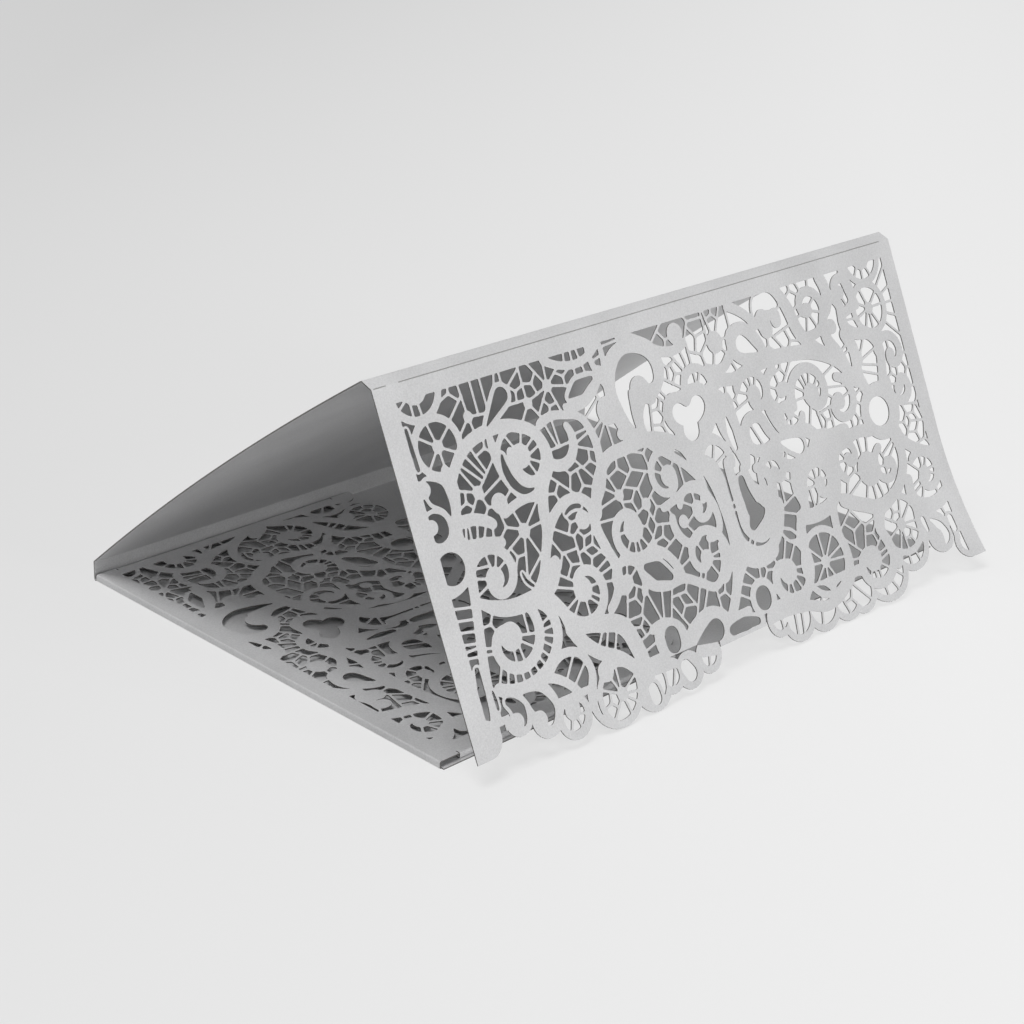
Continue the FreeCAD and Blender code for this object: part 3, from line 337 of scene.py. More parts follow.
# Clear openings: width of the rim and the stroke that is cut out
OPENINGS: tuple[Opening, ...] = (
    Opening(1.1, ((27.9, 14.2, 0.2), (34.0, 8.9, 1.9))),
    Opening(1.1, ((53.5, 13.8, 0.3), (57.0, 12.4, 1.7), (61.5, 11.2, 0.5))),
    Opening(1.0, ((71.0, 25.0, 0.2), (70.0, 20.0, 1.2), (70.6, 14.6, 2.2), (74.2, 12.4, 4.0),
             (77.8, 13.0, 3.4), (79.6, 15.0, 1.4))),
    Opening(0.9, ((86.2, 25.2, 2.4), (89.2, 26.6, 2.2), (92.8, 24.8, 2.4))),
    Opening(0.9, ((89.2, 26.6, 2.2), (88.6, 29.8, 2.6))),
    Opening(0.9, ((62.6, 55.9, 0.9), (65.8, 57.6, 2.2), (69.2, 59.9, 0.9))),
    Opening(1.1, ((64.6, 72.7, 2.3), (64.6, 74.5, 2.3))),
    Opening(1.1, ((71.8, 77.0, 0.2), (75.8, 76.2, 1.7), (79.0, 75.7, 2.7))),
    Opening(1.0, ((66.4, 80.6, 1.7), (67.5, 82.6, 1.9))),
    Opening(1.1, ((117.7, 17.0, 0.3), (113.2, 14.3, 2.2))),
    Opening(0.6, ((120.6, 8.4, 0.8), (122.5, 6.4, 2.2), (126.3, 6.3, 2.1), (128.8, 7.6, 0.7))),
    Opening(0.6, ((101.0, 29.8, 0.3), (101.1, 33.5, 1.0), (101.6, 37.3, 0.7))),
    Opening(1.1, ((117.8, 40.0, 0.4), (120.8, 41.2, 1.4), (123.6, 42.2, 2.0))),
    Opening(1.1, ((156.4, 41.2, 3.7), (157.0, 41.2, 3.7))),
    Opening(0.8, ((100.5, 45.0, 1.1), (101.2, 50.0, 1.6), (102.8, 53.6, 2.4), (105.4, 53.4, 0.4))),
    Opening(0.8, ((102.8, 53.6, 2.4), (100.4, 56.2, 1.2))),
    Opening(1.9, ((97.3, 72.9, 2.6), (97.3, 73.7, 2.6))),
    Opening(1.1, ((7.4, 40.6, 3.5), (7.8, 40.6, 3.5))),
    Opening(0.9, ((7.4, 22.4, 1.0), (9.2, 24.6, 2.4), (10.9, 27.5, 1.0), (11.3, 29.8, 0.2))),
    Opening(0.9, ((6.0, 29.4, 1.0), (8.0, 30.6, 1.6), (8.0, 32.6, 1.6), (6.4, 33.4, 1.2))),
    Opening(0.6, ((6.7, 62.5, 0.6), (6.2, 68.0, 1.0), (5.8, 73.0, 0.8), (5.0, 75.4, 0.2))),
    Opening(0.5, ((9.2, 68.0, 0.2), (9.4, 70.2, 0.4), (9.4, 72.0, 0.3))),
    Opening(0.5, ((5.9, 10.0, 0.4), (6.0, 14.0, 0.5), (6.2, 18.6, 0.5))),
    Opening(0.8, ((12.6, 71.4, 0.9), (14.8, 74.0, 1.8), (15.0, 76.4, 1.3))),
    Opening(0.8, ((17.2, 71.4, 0.2), (20.6, 74.0, 2.2), (22.4, 76.8, 2.3), (22.6, 79.0, 0.9))),
    Opening(0.8, ((29.6, 21.3, 0.3), (29.6, 24.6, 0.9), (30.8, 27.9, 1.0), (33.0, 30.0, 0.8),
             (36.0, 30.3, 0.2))),
    Opening(0.5, ((26.2, 46.8, 0.2), (27.0, 48.8, 0.4), (28.3, 50.2, 0.3))),
    Opening(0.6, ((43.0, 38.0, 0.3), (45.0, 37.1, 0.5), (47.6, 37.4, 0.5))),
    Opening(0.8, ((84.5, 77.4, 1.3), (89.0, 77.2, 1.6), (93.4, 77.8, 0.9))),
    Opening(0.9, ((54.6, 82.2, 1.5), (54.9, 84.4, 1.6))),
    Opening(0.8, ((161.8, 71.4, 0.8), (162.3, 74.4, 0.5))),
    Opening(0.8, ((164.6, 72.4, 0.4), (167.0, 74.8, 1.3), (167.9, 77.4, 1.2), (166.8, 79.2, 0.4))),
    Opening(0.8, ((171.5, 73.6, 0.9), (171.6, 76.6, 0.9))),
    Opening(0.8, ((110.4, 60.6, 0.5), (112.0, 61.8, 1.0), (113.6, 62.6, 0.5))),
)

# Curled ends of card that stand in the openings
CURLS: tuple[Stroke, ...] = (
    ((78.4, 19.6, 1.6), (75.6, 16.8, 3.0)),
    ((73.2, 21.0, 1.2), (73.4, 18.0, 0.8)),
    ((5.0, 22.8, 1.8), (6.2, 23.0, 1.8)),
    ((5.0, 31.0, 1.6), (5.6, 31.0, 1.6)),
    ((122.6, 11.4, 2.4), (122.6, 10.2, 2.6)),
    ((127.3, 11.4, 1.8), (127.3, 10.3, 1.9)),
    ((11.5, 76.4, 1.6), (13.5, 76.2, 2.0)),
    ((17.6, 79.0, 1.8), (19.8, 78.0, 2.2)),
    ((162.6, 78.0, 1.6), (164.6, 76.8, 2.2)),
)


# --- Distances on a grid ------------------------------------------------------------------------------

# Distance between the samples of a drawn stroke, in mm
STROKE_STEP = 0.5


def smooth_stroke(stroke: Stroke, step: float) -> tuple[np.ndarray, np.ndarray]:
    """Run a smooth curve through a stroke's points.

    Args:
        stroke: The points, each with the stroke's half width there, in mm.
        step: Distance between the curve's samples in mm.

    Returns:
        The samples and the half width at each.
    """
    points = np.array([p[:2] for p in stroke])
    halves = [p[2] for p in stroke]
    chords = np.diff(points, axis=0)
    lengths = np.hypot(*chords.T)
    if len(points) == 2:
        turns = [chords[0] / lengths[0]] * 2
    else:
        inner = []
        for before, after, a, b in zip(chords, chords[1:], lengths, lengths[1:]):
            turn = before / a * b + after / b * a
            inner.append(turn / np.hypot(*turn))
        if np.allclose(points[0], points[-1]):
            joint = chords[-1] / lengths[-1] + chords[0] / lengths[0]
            first = last = joint / np.hypot(*joint)
        else:
            first = mirrored(inner[0], chords[0] / lengths[0])
            last = mirrored(inner[-1], chords[-1] / lengths[-1])
        turns = [first, *inner, last]
    samples, widths = [points[:1]], [halves[:1]]
    for i, length in enumerate(lengths):
        count = max(2, int(length / step) + 1)
        t = np.arange(1, count + 1)[:, None] / count
        samples.append(
            (2 * t**3 - 3 * t**2 + 1) * points[i] + (t**3 - 2 * t**2 + t) * length * turns[i]
            + (3 * t**2 - 2 * t**3) * points[i + 1] + (t**3 - t**2) * length * turns[i + 1])
        widths.append(halves[i] + (halves[i + 1] - halves[i]) * t[:, 0])
    return np.concatenate(samples), np.concatenate(widths)


def mirrored(direction: np.ndarray, chord: np.ndarray) -> np.ndarray:
    """The direction at one end of an arc, from the one at its other end and the chord's."""
    return 2 * chord * float(chord @ direction) - direction


class DistanceGrid:
    """Signed distances in mm to the edge of a shape at the points of a grid, below zero inside it."""

    FAR: ClassVar[float] = 9.0
    MARGIN: ClassVar[float] = 1.0
    TINY: ClassVar[float] = 1e-12

    def __init__(self, low: Point, high: Point, cell: float) -> None:
        """Make an empty grid.

        Args:
            low: The grid's first point.
            high: The place that its last point comes nearest to.
            cell: Distance between neighbouring points.
        """
        self.low = low
        self.cell = cell
        self.u = low[0] + np.arange(int((high[0] - low[0]) / cell) + 1) * cell
        self.v = low[1] + np.arange(int((high[1] - low[1]) / cell) + 1) * cell
        self.values = np.full((len(self.v), len(self.u)), self.FAR)

    def copy(self) -> "DistanceGrid":
        """Make a grid of the same shape, with values of its own.

        Returns:
            The new grid.
        """
        twin = DistanceGrid(self.low, (self.u[-1], self.v[-1]), self.cell)
        twin.values = self.values.copy()
        return twin

    def join(self, distance: Callable[[np.ndarray, np.ndarray], np.ndarray], low: Point, high: Point,
             blend: float = 0.0) -> None:
        """Add a shape, with a small fillet where it meets what is there.

        Args:
            distance: Signed distance to the added shape's edge, as a function of u and v.
            low: Lowest corner of the part of the grid that it changes.
            high: Highest corner of that part.
            blend: Size of the fillet.
        """
        i0 = max(0, int((low[0] - self.low[0]) / self.cell))
        j0 = max(0, int((low[1] - self.low[1]) / self.cell))
        i1 = int((high[0] - self.low[0]) / self.cell) + 2
        j1 = int((high[1] - self.low[1]) / self.cell) + 2
        window = self.values[j0:j1, i0:i1]
        if not window.size:
            return
        added = distance(self.u[None, i0:i1], self.v[j0:j1, None])
        if blend > 0:
            share = np.clip(0.5 + 0.5 * (window - added) / blend, 0, 1)
            window[:] = window * (1 - share) + added * share - blend * share * (1 - share)
        else:
            np.minimum(window, added, out=window)

    def add_disc(self, disc: Disc, blend: float = 0.0) -> None:
        """Add a disc.

        Args:
            disc: The disc.
            blend: Size of the fillet where it meets other card.
        """
        u, v, r, far = disc.u, disc.v, disc.radius, self.MARGIN
        self.join(lambda x, y: np.hypot(x - u, y - v) - r,
                  (u - r - far, v - r - far), (u + r + far, v + r + far), blend)

    def add_ring(self, rosette: Rosette, blend: float) -> None:
        """Add a rosette's ring.

        Args:
            rosette: The rosette.
            blend: Size of the fillet where the ring meets other card.
        """
        u, v, width = rosette.u, rosette.v, rosette.ring
        middle, far = rosette.field + width / 2, rosette.field + width + self.MARGIN
        self.join(lambda x, y: np.abs(np.hypot(x - u, y - v) - middle) - width / 2,
                  (u - far, v - far), (u + far, v + far), blend)

    def add_box(self, low: Point, high: Point) -> None:
        """Add a rectangle.

        Args:
            low: Its lowest corner.
            high: Its highest corner.
        """
        middle = ((low[0] + high[0]) / 2, (low[1] + high[1]) / 2)
        half = ((high[0] - low[0]) / 2, (high[1] - low[1]) / 2)

        def distance(x: np.ndarray, y: np.ndarray) -> np.ndarray:
            """Work out the distance to the rectangle's edge.

            Args:
                x: Places along u.
                y: Places along v.

            Returns:
                Signed distances, below zero inside.
            """
            past_u, past_v = np.abs(x - middle[0]) - half[0], np.abs(y - middle[1]) - half[1]
            outside = np.hypot(np.maximum(past_u, 0), np.maximum(past_v, 0))
            return outside + np.minimum(np.maximum(past_u, past_v), 0)

        far = self.MARGIN
        self.join(distance, (low[0] - far, low[1] - far), (high[0] + far, high[1] + far))

    def add_bar(self, a: Point, b: Point, ra: float, rb: float, blend: float, margin: float = MARGIN) -> None:
        """Add the shape that a disc sweeps from one place to another while its radius changes.

        Args:
            a: First place.
            b: Second place.
            ra: Radius at the first place.
            rb: Radius at the second place.
            blend: Size of the fillet where it meets other card.
            margin: How far beyond the shape's edge the distances are worked out.
        """
        du, dv = b[0] - a[0], b[1] - a[1]
        square = du * du + dv * dv + self.TINY
        far = max(ra, rb) + margin

        def distance(x: np.ndarray, y: np.ndarray) -> np.ndarray:
            """Work out the distance to the line less the radius at the nearest place on it.

            Args:
                x: Places along u.
                y: Places along v.

            Returns:
                Signed distances, below zero inside.
            """
            t = np.clip(((x - a[0]) * du + (y - a[1]) * dv) / square, 0, 1)
            return np.hypot(x - a[0] - t * du, y - a[1] - t * dv) - (ra + (rb - ra) * t)

        self.join(distance, (min(a[0], b[0]) - far, min(a[1], b[1]) - far),
                  (max(a[0], b[0]) + far, max(a[1], b[1]) + far), blend)

    def add_stroke(self, stroke: Stroke, blend: float, grow: float = 0.0) -> None:
        """Add a smooth stroke.

        Args:
            stroke: The stroke.
            blend: Size of the fillet where it meets other card.
            grow: How much wider it is made on each side.
        """
        line, halves = smooth_stroke(stroke, STROKE_STEP)
        for a, b, ra, rb in zip(line, line[1:], halves, halves[1:]):
            self.add_bar(a, b, ra + grow, rb + grow, blend)


# --- The lace -----------------------------------------------------------------------------------------

class Ground(IntEnum):
    """What a place in the drawing is, for a bar that is cast across it."""

    GAP = 0
    CARD = 1
    OUTSIDE = 2
    CLEAR = 3


def along(start: Point, way: Point, distance: float) -> Point:
    """The place some way on from another."""
    return start[0] + way[0] * distance, start[1] + way[1] * distance


@dataclass
class Lace:
    """The lace as it is drawn for the whole width of the card, with the bars that join it.

    Sizes are in mm. The mouth is the flap's free edge. Its lobes lie between two plain strips and round a
    straight line, past which a band of card runs a little way, and a tongue between the lobes farther.
    """

    width: float
    reach: float = 87.5
    margin: float = 3.0
    cell: float = 0.125
    nowhere_near: float = 50.0
    # Fillets, and how much fuller the scrolls are made on each side
    fillet: float = 0.4
    clear_fillet: float = 0.2
    curl_fillet: float = 0.3
    fullness: float = 0.12
    # Plain borders, the strips that end them, and the mouth
    top_border: float = 4.0
    left_border: float = 5.3
    right_border: float = 5.0
    strip_from: float = 60.0
    strip_corner: float = 4.2
    left_strip_reach: float = 81.4
    right_strip_reach: float = 85.3
    right_strip_trim: float = 0.8
    mouth_line: float = 75.6
    mouth_rim: float = 1.8
    band_inset: float = 10.0
    band_height: float = 6.0
    band_past: float = 1.4
    tongue_low: Point = (79.0, 70.0)
    tongue_high: Point = (96.0, 79.8)
    # Bars: their size and spacing, how far they run into the card, and how their way is looked over
    bar_half: float = 0.31
    bar_pitch: float = 2.6
    bar_reach: float = 7.5
    bar_spacing: float = 1.1
    bar_bite: float = 0.3
    least_bar: float = 0.8
    end_room: float = 0.7
    side_room: float = 0.55
    near_ends: tuple[float, float, float] = (0.15, 0.5, 0.85)
    deepest_start: float = 2.5
    look_step: float = 0.1
    far_look: float = 8.0
    stroke_look: float = 0.2
    # Bars from the borders, rings and openings
    border_pitch: float = 2.9
    border_from: float = 6.0
    border_past: float = 3.0
    top_bite: float = 0.2
    ring_bite: float = 0.4
    ring_bars: int = 6
    opening_bars: int = 10
    clear_edge: float = 0.1
    # Spokes of the rosettes and spirals
    spoke_spacing: float = 0.9
    spoke_pitch: float = 3.2
    spoke_out: float = 1.0
    spoke_sway: float = 11.0
    sway_turn: float = 2.4
    ringed_reach: float = 1.5
    open_reach: float = 2.5
    # Knots where a gap is still wide
    knot_room: float = 1.75
    knot_skip: float = 1.6
    knot_turns: int = 12
    most_knots: int = 200
    outline: DistanceGrid = field(init=False)
    card: DistanceGrid = field(init=False)
    clear: DistanceGrid = field(init=False)
    ground: np.ndarray = field(init=False)
    barred: np.ndarray = field(init=False)

    def __post_init__(self) -> None:
        """Draw the whole lace."""
        low, high = (-self.margin, -self.margin), (self.width + self.margin, self.reach + self.margin)
        self.outline = DistanceGrid(low, high, self.cell)
        self.card = DistanceGrid(low, high, self.cell)
        self.clear = DistanceGrid(low, high, self.cell)
        self.draw_outline()
        self.draw_shapes()
        self.find_ground()
        self.cast_bars()
        self.tie_knots()

    def draw_outline(self) -> None:
        """Draw the flap's outer shape: straight sides and the lobes between two strips."""
        shape, width = self.outline, self.width
        shape.values[:] = self.nowhere_near
        shape.add_box((0.0, 0.0), (width, self.mouth_line))
        shape.add_box((self.band_inset, self.mouth_line - self.band_height),
                      (width - self.band_inset, self.mouth_line + self.band_past))
        shape.add_box(self.tongue_low, self.tongue_high)
        self.draw_strips()
        for lobe in LOBES:
            shape.add_disc(lobe)
        beside = np.maximum(-shape.u[None, :], shape.u[None, :] - width)
        np.maximum(shape.values, beside, out=shape.values)

    def draw_strips(self) -> None:
        """Draw the ends of the side borders, which hang past the mouth line with a round corner each."""
        shape, width, r = self.outline, self.width, self.strip_corner
        start, trim = self.strip_from, self.right_strip_trim
        left, right = self.left_strip_reach, self.right_strip_reach
        shape.add_box((0.0, start), (r, left))
        shape.add_box((0.0, start), (2 * r, left - r))
        shape.add_disc(Disc(r, left - r, r))
        shape.add_box((width - r + trim, start), (width, right))
        shape.add_box((width - 2 * r + trim, start), (width, right - r))
        shape.add_disc(Disc(width - r, right - r, r))

    def draw_borders(self) -> None:
        """Draw the plain borders."""
        card, r = self.card, self.strip_corner
        card.add_box((0.0, 0.0), (self.width, self.top_border))
        card.add_box((0.0, 0.0), (self.left_border, self.mouth_line))
        card.add_box((self.width - self.right_border, 0.0), (self.width, self.right_strip_reach))
        card.add_box((0.0, 0.0), (r, self.left_strip_reach))
        card.add_disc(Disc(r, self.left_strip_reach - r, r))

    def draw_shapes(self) -> None:
        """Draw the borders, scrolls, spots, rosettes and rims, and cut the clear openings."""
        card, clear = self.card, self.clear
        self.draw_borders()
        for stroke in SCROLLS:
            card.add_stroke(stroke, self.fillet, self.fullness)
        for spiral in SPIRALS:
            card.add_stroke(spiral.stroke(), self.fillet)
            card.add_disc(Disc(spiral.u, spiral.v, spiral.eye), self.fillet)
        for spot in SPOTS:
            card.add_disc(spot, self.fillet)
        for rosette in ROSETTES:
            card.add_disc(Disc(rosette.u, rosette.v, rosette.eye), self.fillet)
            if rosette.ring:
                card.add_ring(rosette, self.fillet)
        rim = np.where(self.outline.values < 0, -self.outline.values - self.mouth_rim, DistanceGrid.FAR)
        at_mouth = card.v[:, None] > self.mouth_line - self.mouth_rim
        card.values = np.where(at_mouth, np.minimum(card.values, rim), card.values)
        for opening in OPENINGS:
            card.add_stroke(opening.stroke, self.fillet, opening.rim)
            clear.add_stroke(opening.stroke, self.clear_fillet)
        np.maximum(card.values, -clear.values, out=card.values)
        for stroke in CURLS:
            card.add_stroke(stroke, self.curl_fillet)
        self.draw_borders()
        np.maximum(clear.values, -card.values, out=clear.values)

    def find_ground(self) -> None:
        """Note what each place of the drawing is before the bars are cast."""
        self.ground = np.full(self.card.values.shape, int(Ground.GAP), np.int8)
        self.ground[self.outline.values > 0] = Ground.OUTSIDE
        self.ground[self.card.values < 0] = Ground.CARD
        self.ground[self.clear.values < 0] = Ground.CLEAR
        self.barred = np.zeros(self.ground.shape, bool)

    def cell_at(self, u: float, v: float) -> tuple[int, int]:
        """Row and column of the grid point nearest to a place."""
        return int(round((v - self.card.low[1]) / self.cell)), int(round((u - self.card.low[0]) / self.cell))

    def cells_round(self, row: int, column: int, room: float) -> tuple[slice, slice]:
        """Rows and columns of the grid points within some room of one of them."""
        k = int(room / self.cell)
        return slice(max(0, row - k), row + k + 1), slice(max(0, column - k), column + k + 1)

    def look(self, u: float, v: float) -> int:
        """What a place of the drawing is.

        Args:
            u: Its place along the crease.
            v: Its place away from the crease.

        Returns:
            A value of Ground.
        """
        row, column = self.cell_at(u, v)
        if 0 <= row < self.ground.shape[0] and 0 <= column < self.ground.shape[1]:
            return int(self.ground[row, column])
        return int(Ground.OUTSIDE)

    def add_bar(self, a: Point, b: Point) -> None:
        """Draw a bar and note it as card.

        Args:
            a: The place where it starts.
            b: The place where it ends.
        """
        self.card.add_bar(a, b, self.bar_half, self.bar_half, self.fillet, self.far_look)
        steps = int(math.dist(a, b) / self.look_step) + 1
        for i in range(steps + 1):
            t = i / steps
            row, column = self.cell_at(a[0] + (b[0] - a[0]) * t, a[1] + (b[1] - a[1]) * t)
            self.ground[self.cells_round(row, column, self.bar_half)] = Ground.CARD
            self.barred[row, column] = True

    def cast(self, start: Point, way: Point, reach: float, spacing: float) -> None:
        """Cast a bar from card straight on to the next card, if it is near and there is room.

        Args:
            start: A place on card.
            way: Direction of the bar.
            reach: Longest gap that it may cross.
            spacing: Room that it keeps from other bars.
        """
        near = 0.0
        while near < self.deepest_start and self.look(*along(start, way, near)) == Ground.CARD:
            near += self.look_step
        far = near
        while far < near + reach:
            found = self.look(*along(start, way, far))
            if found != Ground.GAP:
                break
            far += self.look_step
        if far - near < self.least_bar or far >= near + reach or found != Ground.CARD:
            return
        if not self.crowded(start, way, near, far, spacing):
            self.add_bar(along(start, way, near - self.bar_bite), along(start, way, far + self.bar_bite))

    def crowded(self, start: Point, way: Point, near: float, far: float, spacing: float) -> bool:
        """Whether a bar would pass too close to another or to card beside it.

        Args:
            start: The place from which the bar is cast.
            way: Direction of the bar.
            near: How far on its gap starts.
            far: How far on its gap ends.
            spacing: Room that it keeps from other bars at its middle.

        Returns:
            True if there is no room for it.
        """
        for share in self.near_ends:
            u, v = along(start, way, near + (far - near) * share)
            room = spacing if share == 0.5 else spacing * self.end_room
            if self.barred[self.cells_round(*self.cell_at(u, v), room)].any():
                return True
            for aside in (spacing * self.side_room, -spacing * self.side_room):
                if self.look(*along((u, v), (-way[1], way[0]), aside)) == Ground.CARD:
                    return True
        return False

    def cast_bars(self) -> None:
        """Cast every bar: the rosettes' spokes first, then from scrolls, rings, borders and openings."""
        for rosette in ROSETTES:
            reach = rosette.field + self.open_reach
            if rosette.ring:
                reach = rosette.field - rosette.eye + self.ringed_reach
            self.cast_spokes(rosette.u, rosette.v, rosette.eye, rosette.spokes, rosette.phase, reach)
        for spiral in SPIRALS:
            spokes = round(2 * math.pi * (spiral.eye + self.spoke_out) / self.spoke_pitch)
            self.cast_spokes(spiral.u, spiral.v, spiral.eye, spokes, spiral.start, spiral.reach)
        for stroke in SCROLLS:
            self.cast_from_stroke(stroke)
        for spiral in SPIRALS:
            self.cast_from_stroke(spiral.stroke())
        for rosette in ROSETTES:
            if rosette.ring:
                self.cast_from_ring(rosette)
        self.cast_from_borders()
        for opening in OPENINGS:
            self.cast_from_opening(opening)

    def cast_from_borders(self) -> None:
        """Cast bars inwards from the top border and both side borders."""
        for k in range(int(self.width / self.border_pitch) - 1):
            at = self.border_from + k * self.border_pitch
            self.cast((at, self.top_border - self.top_bite), (0, 1), self.bar_reach, self.bar_spacing)
            if at < self.mouth_line + self.border_past:
                left, right = self.left_border - self.bar_bite, self.width - self.right_border + self.bar_bite
                self.cast((left, at), (1, 0), self.bar_reach, self.bar_spacing)
                self.cast((right, at), (-1, 0), self.bar_reach, self.bar_spacing)

    def cast_spokes(self, u: float, v: float, eye: float, count: int, phase: float, reach: float) -> None:
        """Cast spokes from an eye, which aren't quite evenly spread.

        Args:
            u: The eye's place along the crease.
            v: Its place away from the crease.
            eye: Its radius.
            count: Number of spokes.
            phase: Angle of the first one, in degrees.
            reach: Longest gap that a spoke may cross.
        """
        for k in range(count):
            sway = self.spoke_sway * math.sin(k * self.sway_turn + u)
            angle = math.radians(phase + 360 / count * k + sway)
            way = (math.cos(angle), math.sin(angle))
            self.cast(along((u, v), way, eye - self.bar_bite), way, reach, self.spoke_spacing)

    def cast_from_stroke(self, stroke: Stroke) -> None:
        """Cast bars to both sides of a stroke, one pitch apart.

        Args:
            stroke: The stroke.
        """
        line, _ = smooth_stroke(stroke, self.stroke_look)
        run = np.concatenate([[0], np.cumsum(np.hypot(*np.diff(line, axis=0).T))])
        for at in np.arange(self.bar_pitch / 2, run[-1], self.bar_pitch):
            i = min(max(int(np.searchsorted(run, at)), 1), len(line) - 2)
            heading = line[i + 1] - line[i - 1]
            heading = heading / np.hypot(*heading)
            for side in (1, -1):
                way = (-heading[1] * side, heading[0] * side)
                self.cast(tuple(line[i]), way, self.bar_reach, self.bar_spacing)

    def cast_from_ring(self, rosette: Rosette) -> None:
        """Cast bars outwards from a rosette's ring.

        Args:
            rosette: The rosette.
        """
        outer = rosette.field + rosette.ring
        count = max(self.ring_bars, int(2 * math.pi * outer / self.bar_pitch))
        for k in range(count):
            angle = math.radians(rosette.phase) + 2 * math.pi * k / count
            way = (math.cos(angle), math.sin(angle))
            start = along((rosette.u, rosette.v), way, outer - self.ring_bite)
            self.cast(start, way, self.bar_reach, self.bar_spacing)

    def cast_from_opening(self, opening: Opening) -> None:
        """Cast bars outwards from the rim of a clear opening.

        Args:
            opening: The opening.
        """
        line, _ = smooth_stroke(opening.stroke, STROKE_STEP)
        middle = tuple(line[len(line) // 2])
        for k in range(self.opening_bars):
            angle = 2 * math.pi * k / self.opening_bars
            way = (math.cos(angle), math.sin(angle))
            s = 0.0
            while s < self.far_look and self.is_clear(along(middle, way, s)):
                s += self.stroke_look
            start = along(middle, way, s + self.stroke_look)
            self.cast(start, way, self.bar_reach, self.bar_spacing)

    def is_clear(self, place: Point) -> bool:
        """Whether a place lies in a clear opening or at the very edge of one."""
        return self.clear.values[self.cell_at(*place)] <= self.clear_edge

    def tie_knots(self) -> None:
        """Tie a knot of three bars wherever a gap is still wide, the widest first."""
        barred_out = (self.outline.values > -self.bar_bite) | (self.clear.values <= 0)
        for _ in range(self.most_knots):
            wide = np.where(barred_out, 0, self.card.values)
            row, column = divmod(int(np.argmax(wide)), wide.shape[1])
            if wide[row, column] < self.knot_room:
                return
            middle = (self.card.u[column], self.card.v[row])
            arms = self.knot_arms(middle)
            if not arms:
                barred_out[self.cells_round(row, column, self.knot_skip)] = True
            for end in arms:
                self.add_bar(middle, end)

    def knot_arms(self, middle: Point) -> list[Point]:
        """Find the three evenly spread arms of a knot that reach card soonest.

        Args:
            middle: The knot's place.

        Returns:
            The arms' ends, or an empty list if there are no three such arms.
        """
        third = self.knot_turns
        angles = [2 * math.pi * q / (3 * third) for q in range(3 * third)]
        ways = [(math.cos(angle), math.sin(angle)) for angle in angles]
        hits = []
        for way in ways:
            s = self.bar_bite
            while s < self.far_look and self.look(*along(middle, way, s)) == Ground.GAP:
                s += self.look_step
            hits.append(s if self.look(*along(middle, way, s)) == Ground.CARD else math.inf)
        turn = min(range(third), key=lambda q: max(hits[q::third]))
        if max(hits[turn::third]) == math.inf:
            return []
        return [along(middle, ways[q], hits[q] + self.bar_bite) for q in range(turn, 3 * third, third)]

    def cut_shape(self, low: Point, high: Point, borders: tuple[float, float, float]) -> DistanceGrid:
        """The card that is left of a piece of the lace once it is cut.

        Args:
            low: Lowest corner of the piece in the drawing.
            high: Highest corner of the piece.
            borders: Widths of the plain borders along its low u, low v and high u sides.

        Returns:
            Signed distances, below zero on card.
        """
        piece = self.card.copy()
        piece.add_box(low, (low[0] + borders[0], high[1]))
        piece.add_box(low, (high[0], low[1] + borders[1]))
        piece.add_box((high[0] - borders[2], low[1]), high)
        u, v = piece.u[None, :], piece.v[:, None]
        beyond = np.maximum(np.maximum(low[0] - u, u - high[0]), low[1] - v)
        piece.values = np.maximum(np.maximum(piece.values, self.outline.values), beyond)
        return piece


# --- Outlines of the cut card -------------------------------------------------------------------------

# A side of a grid cell: column and row of its first point, and whether it is upright
Side = tuple[int, int, int]


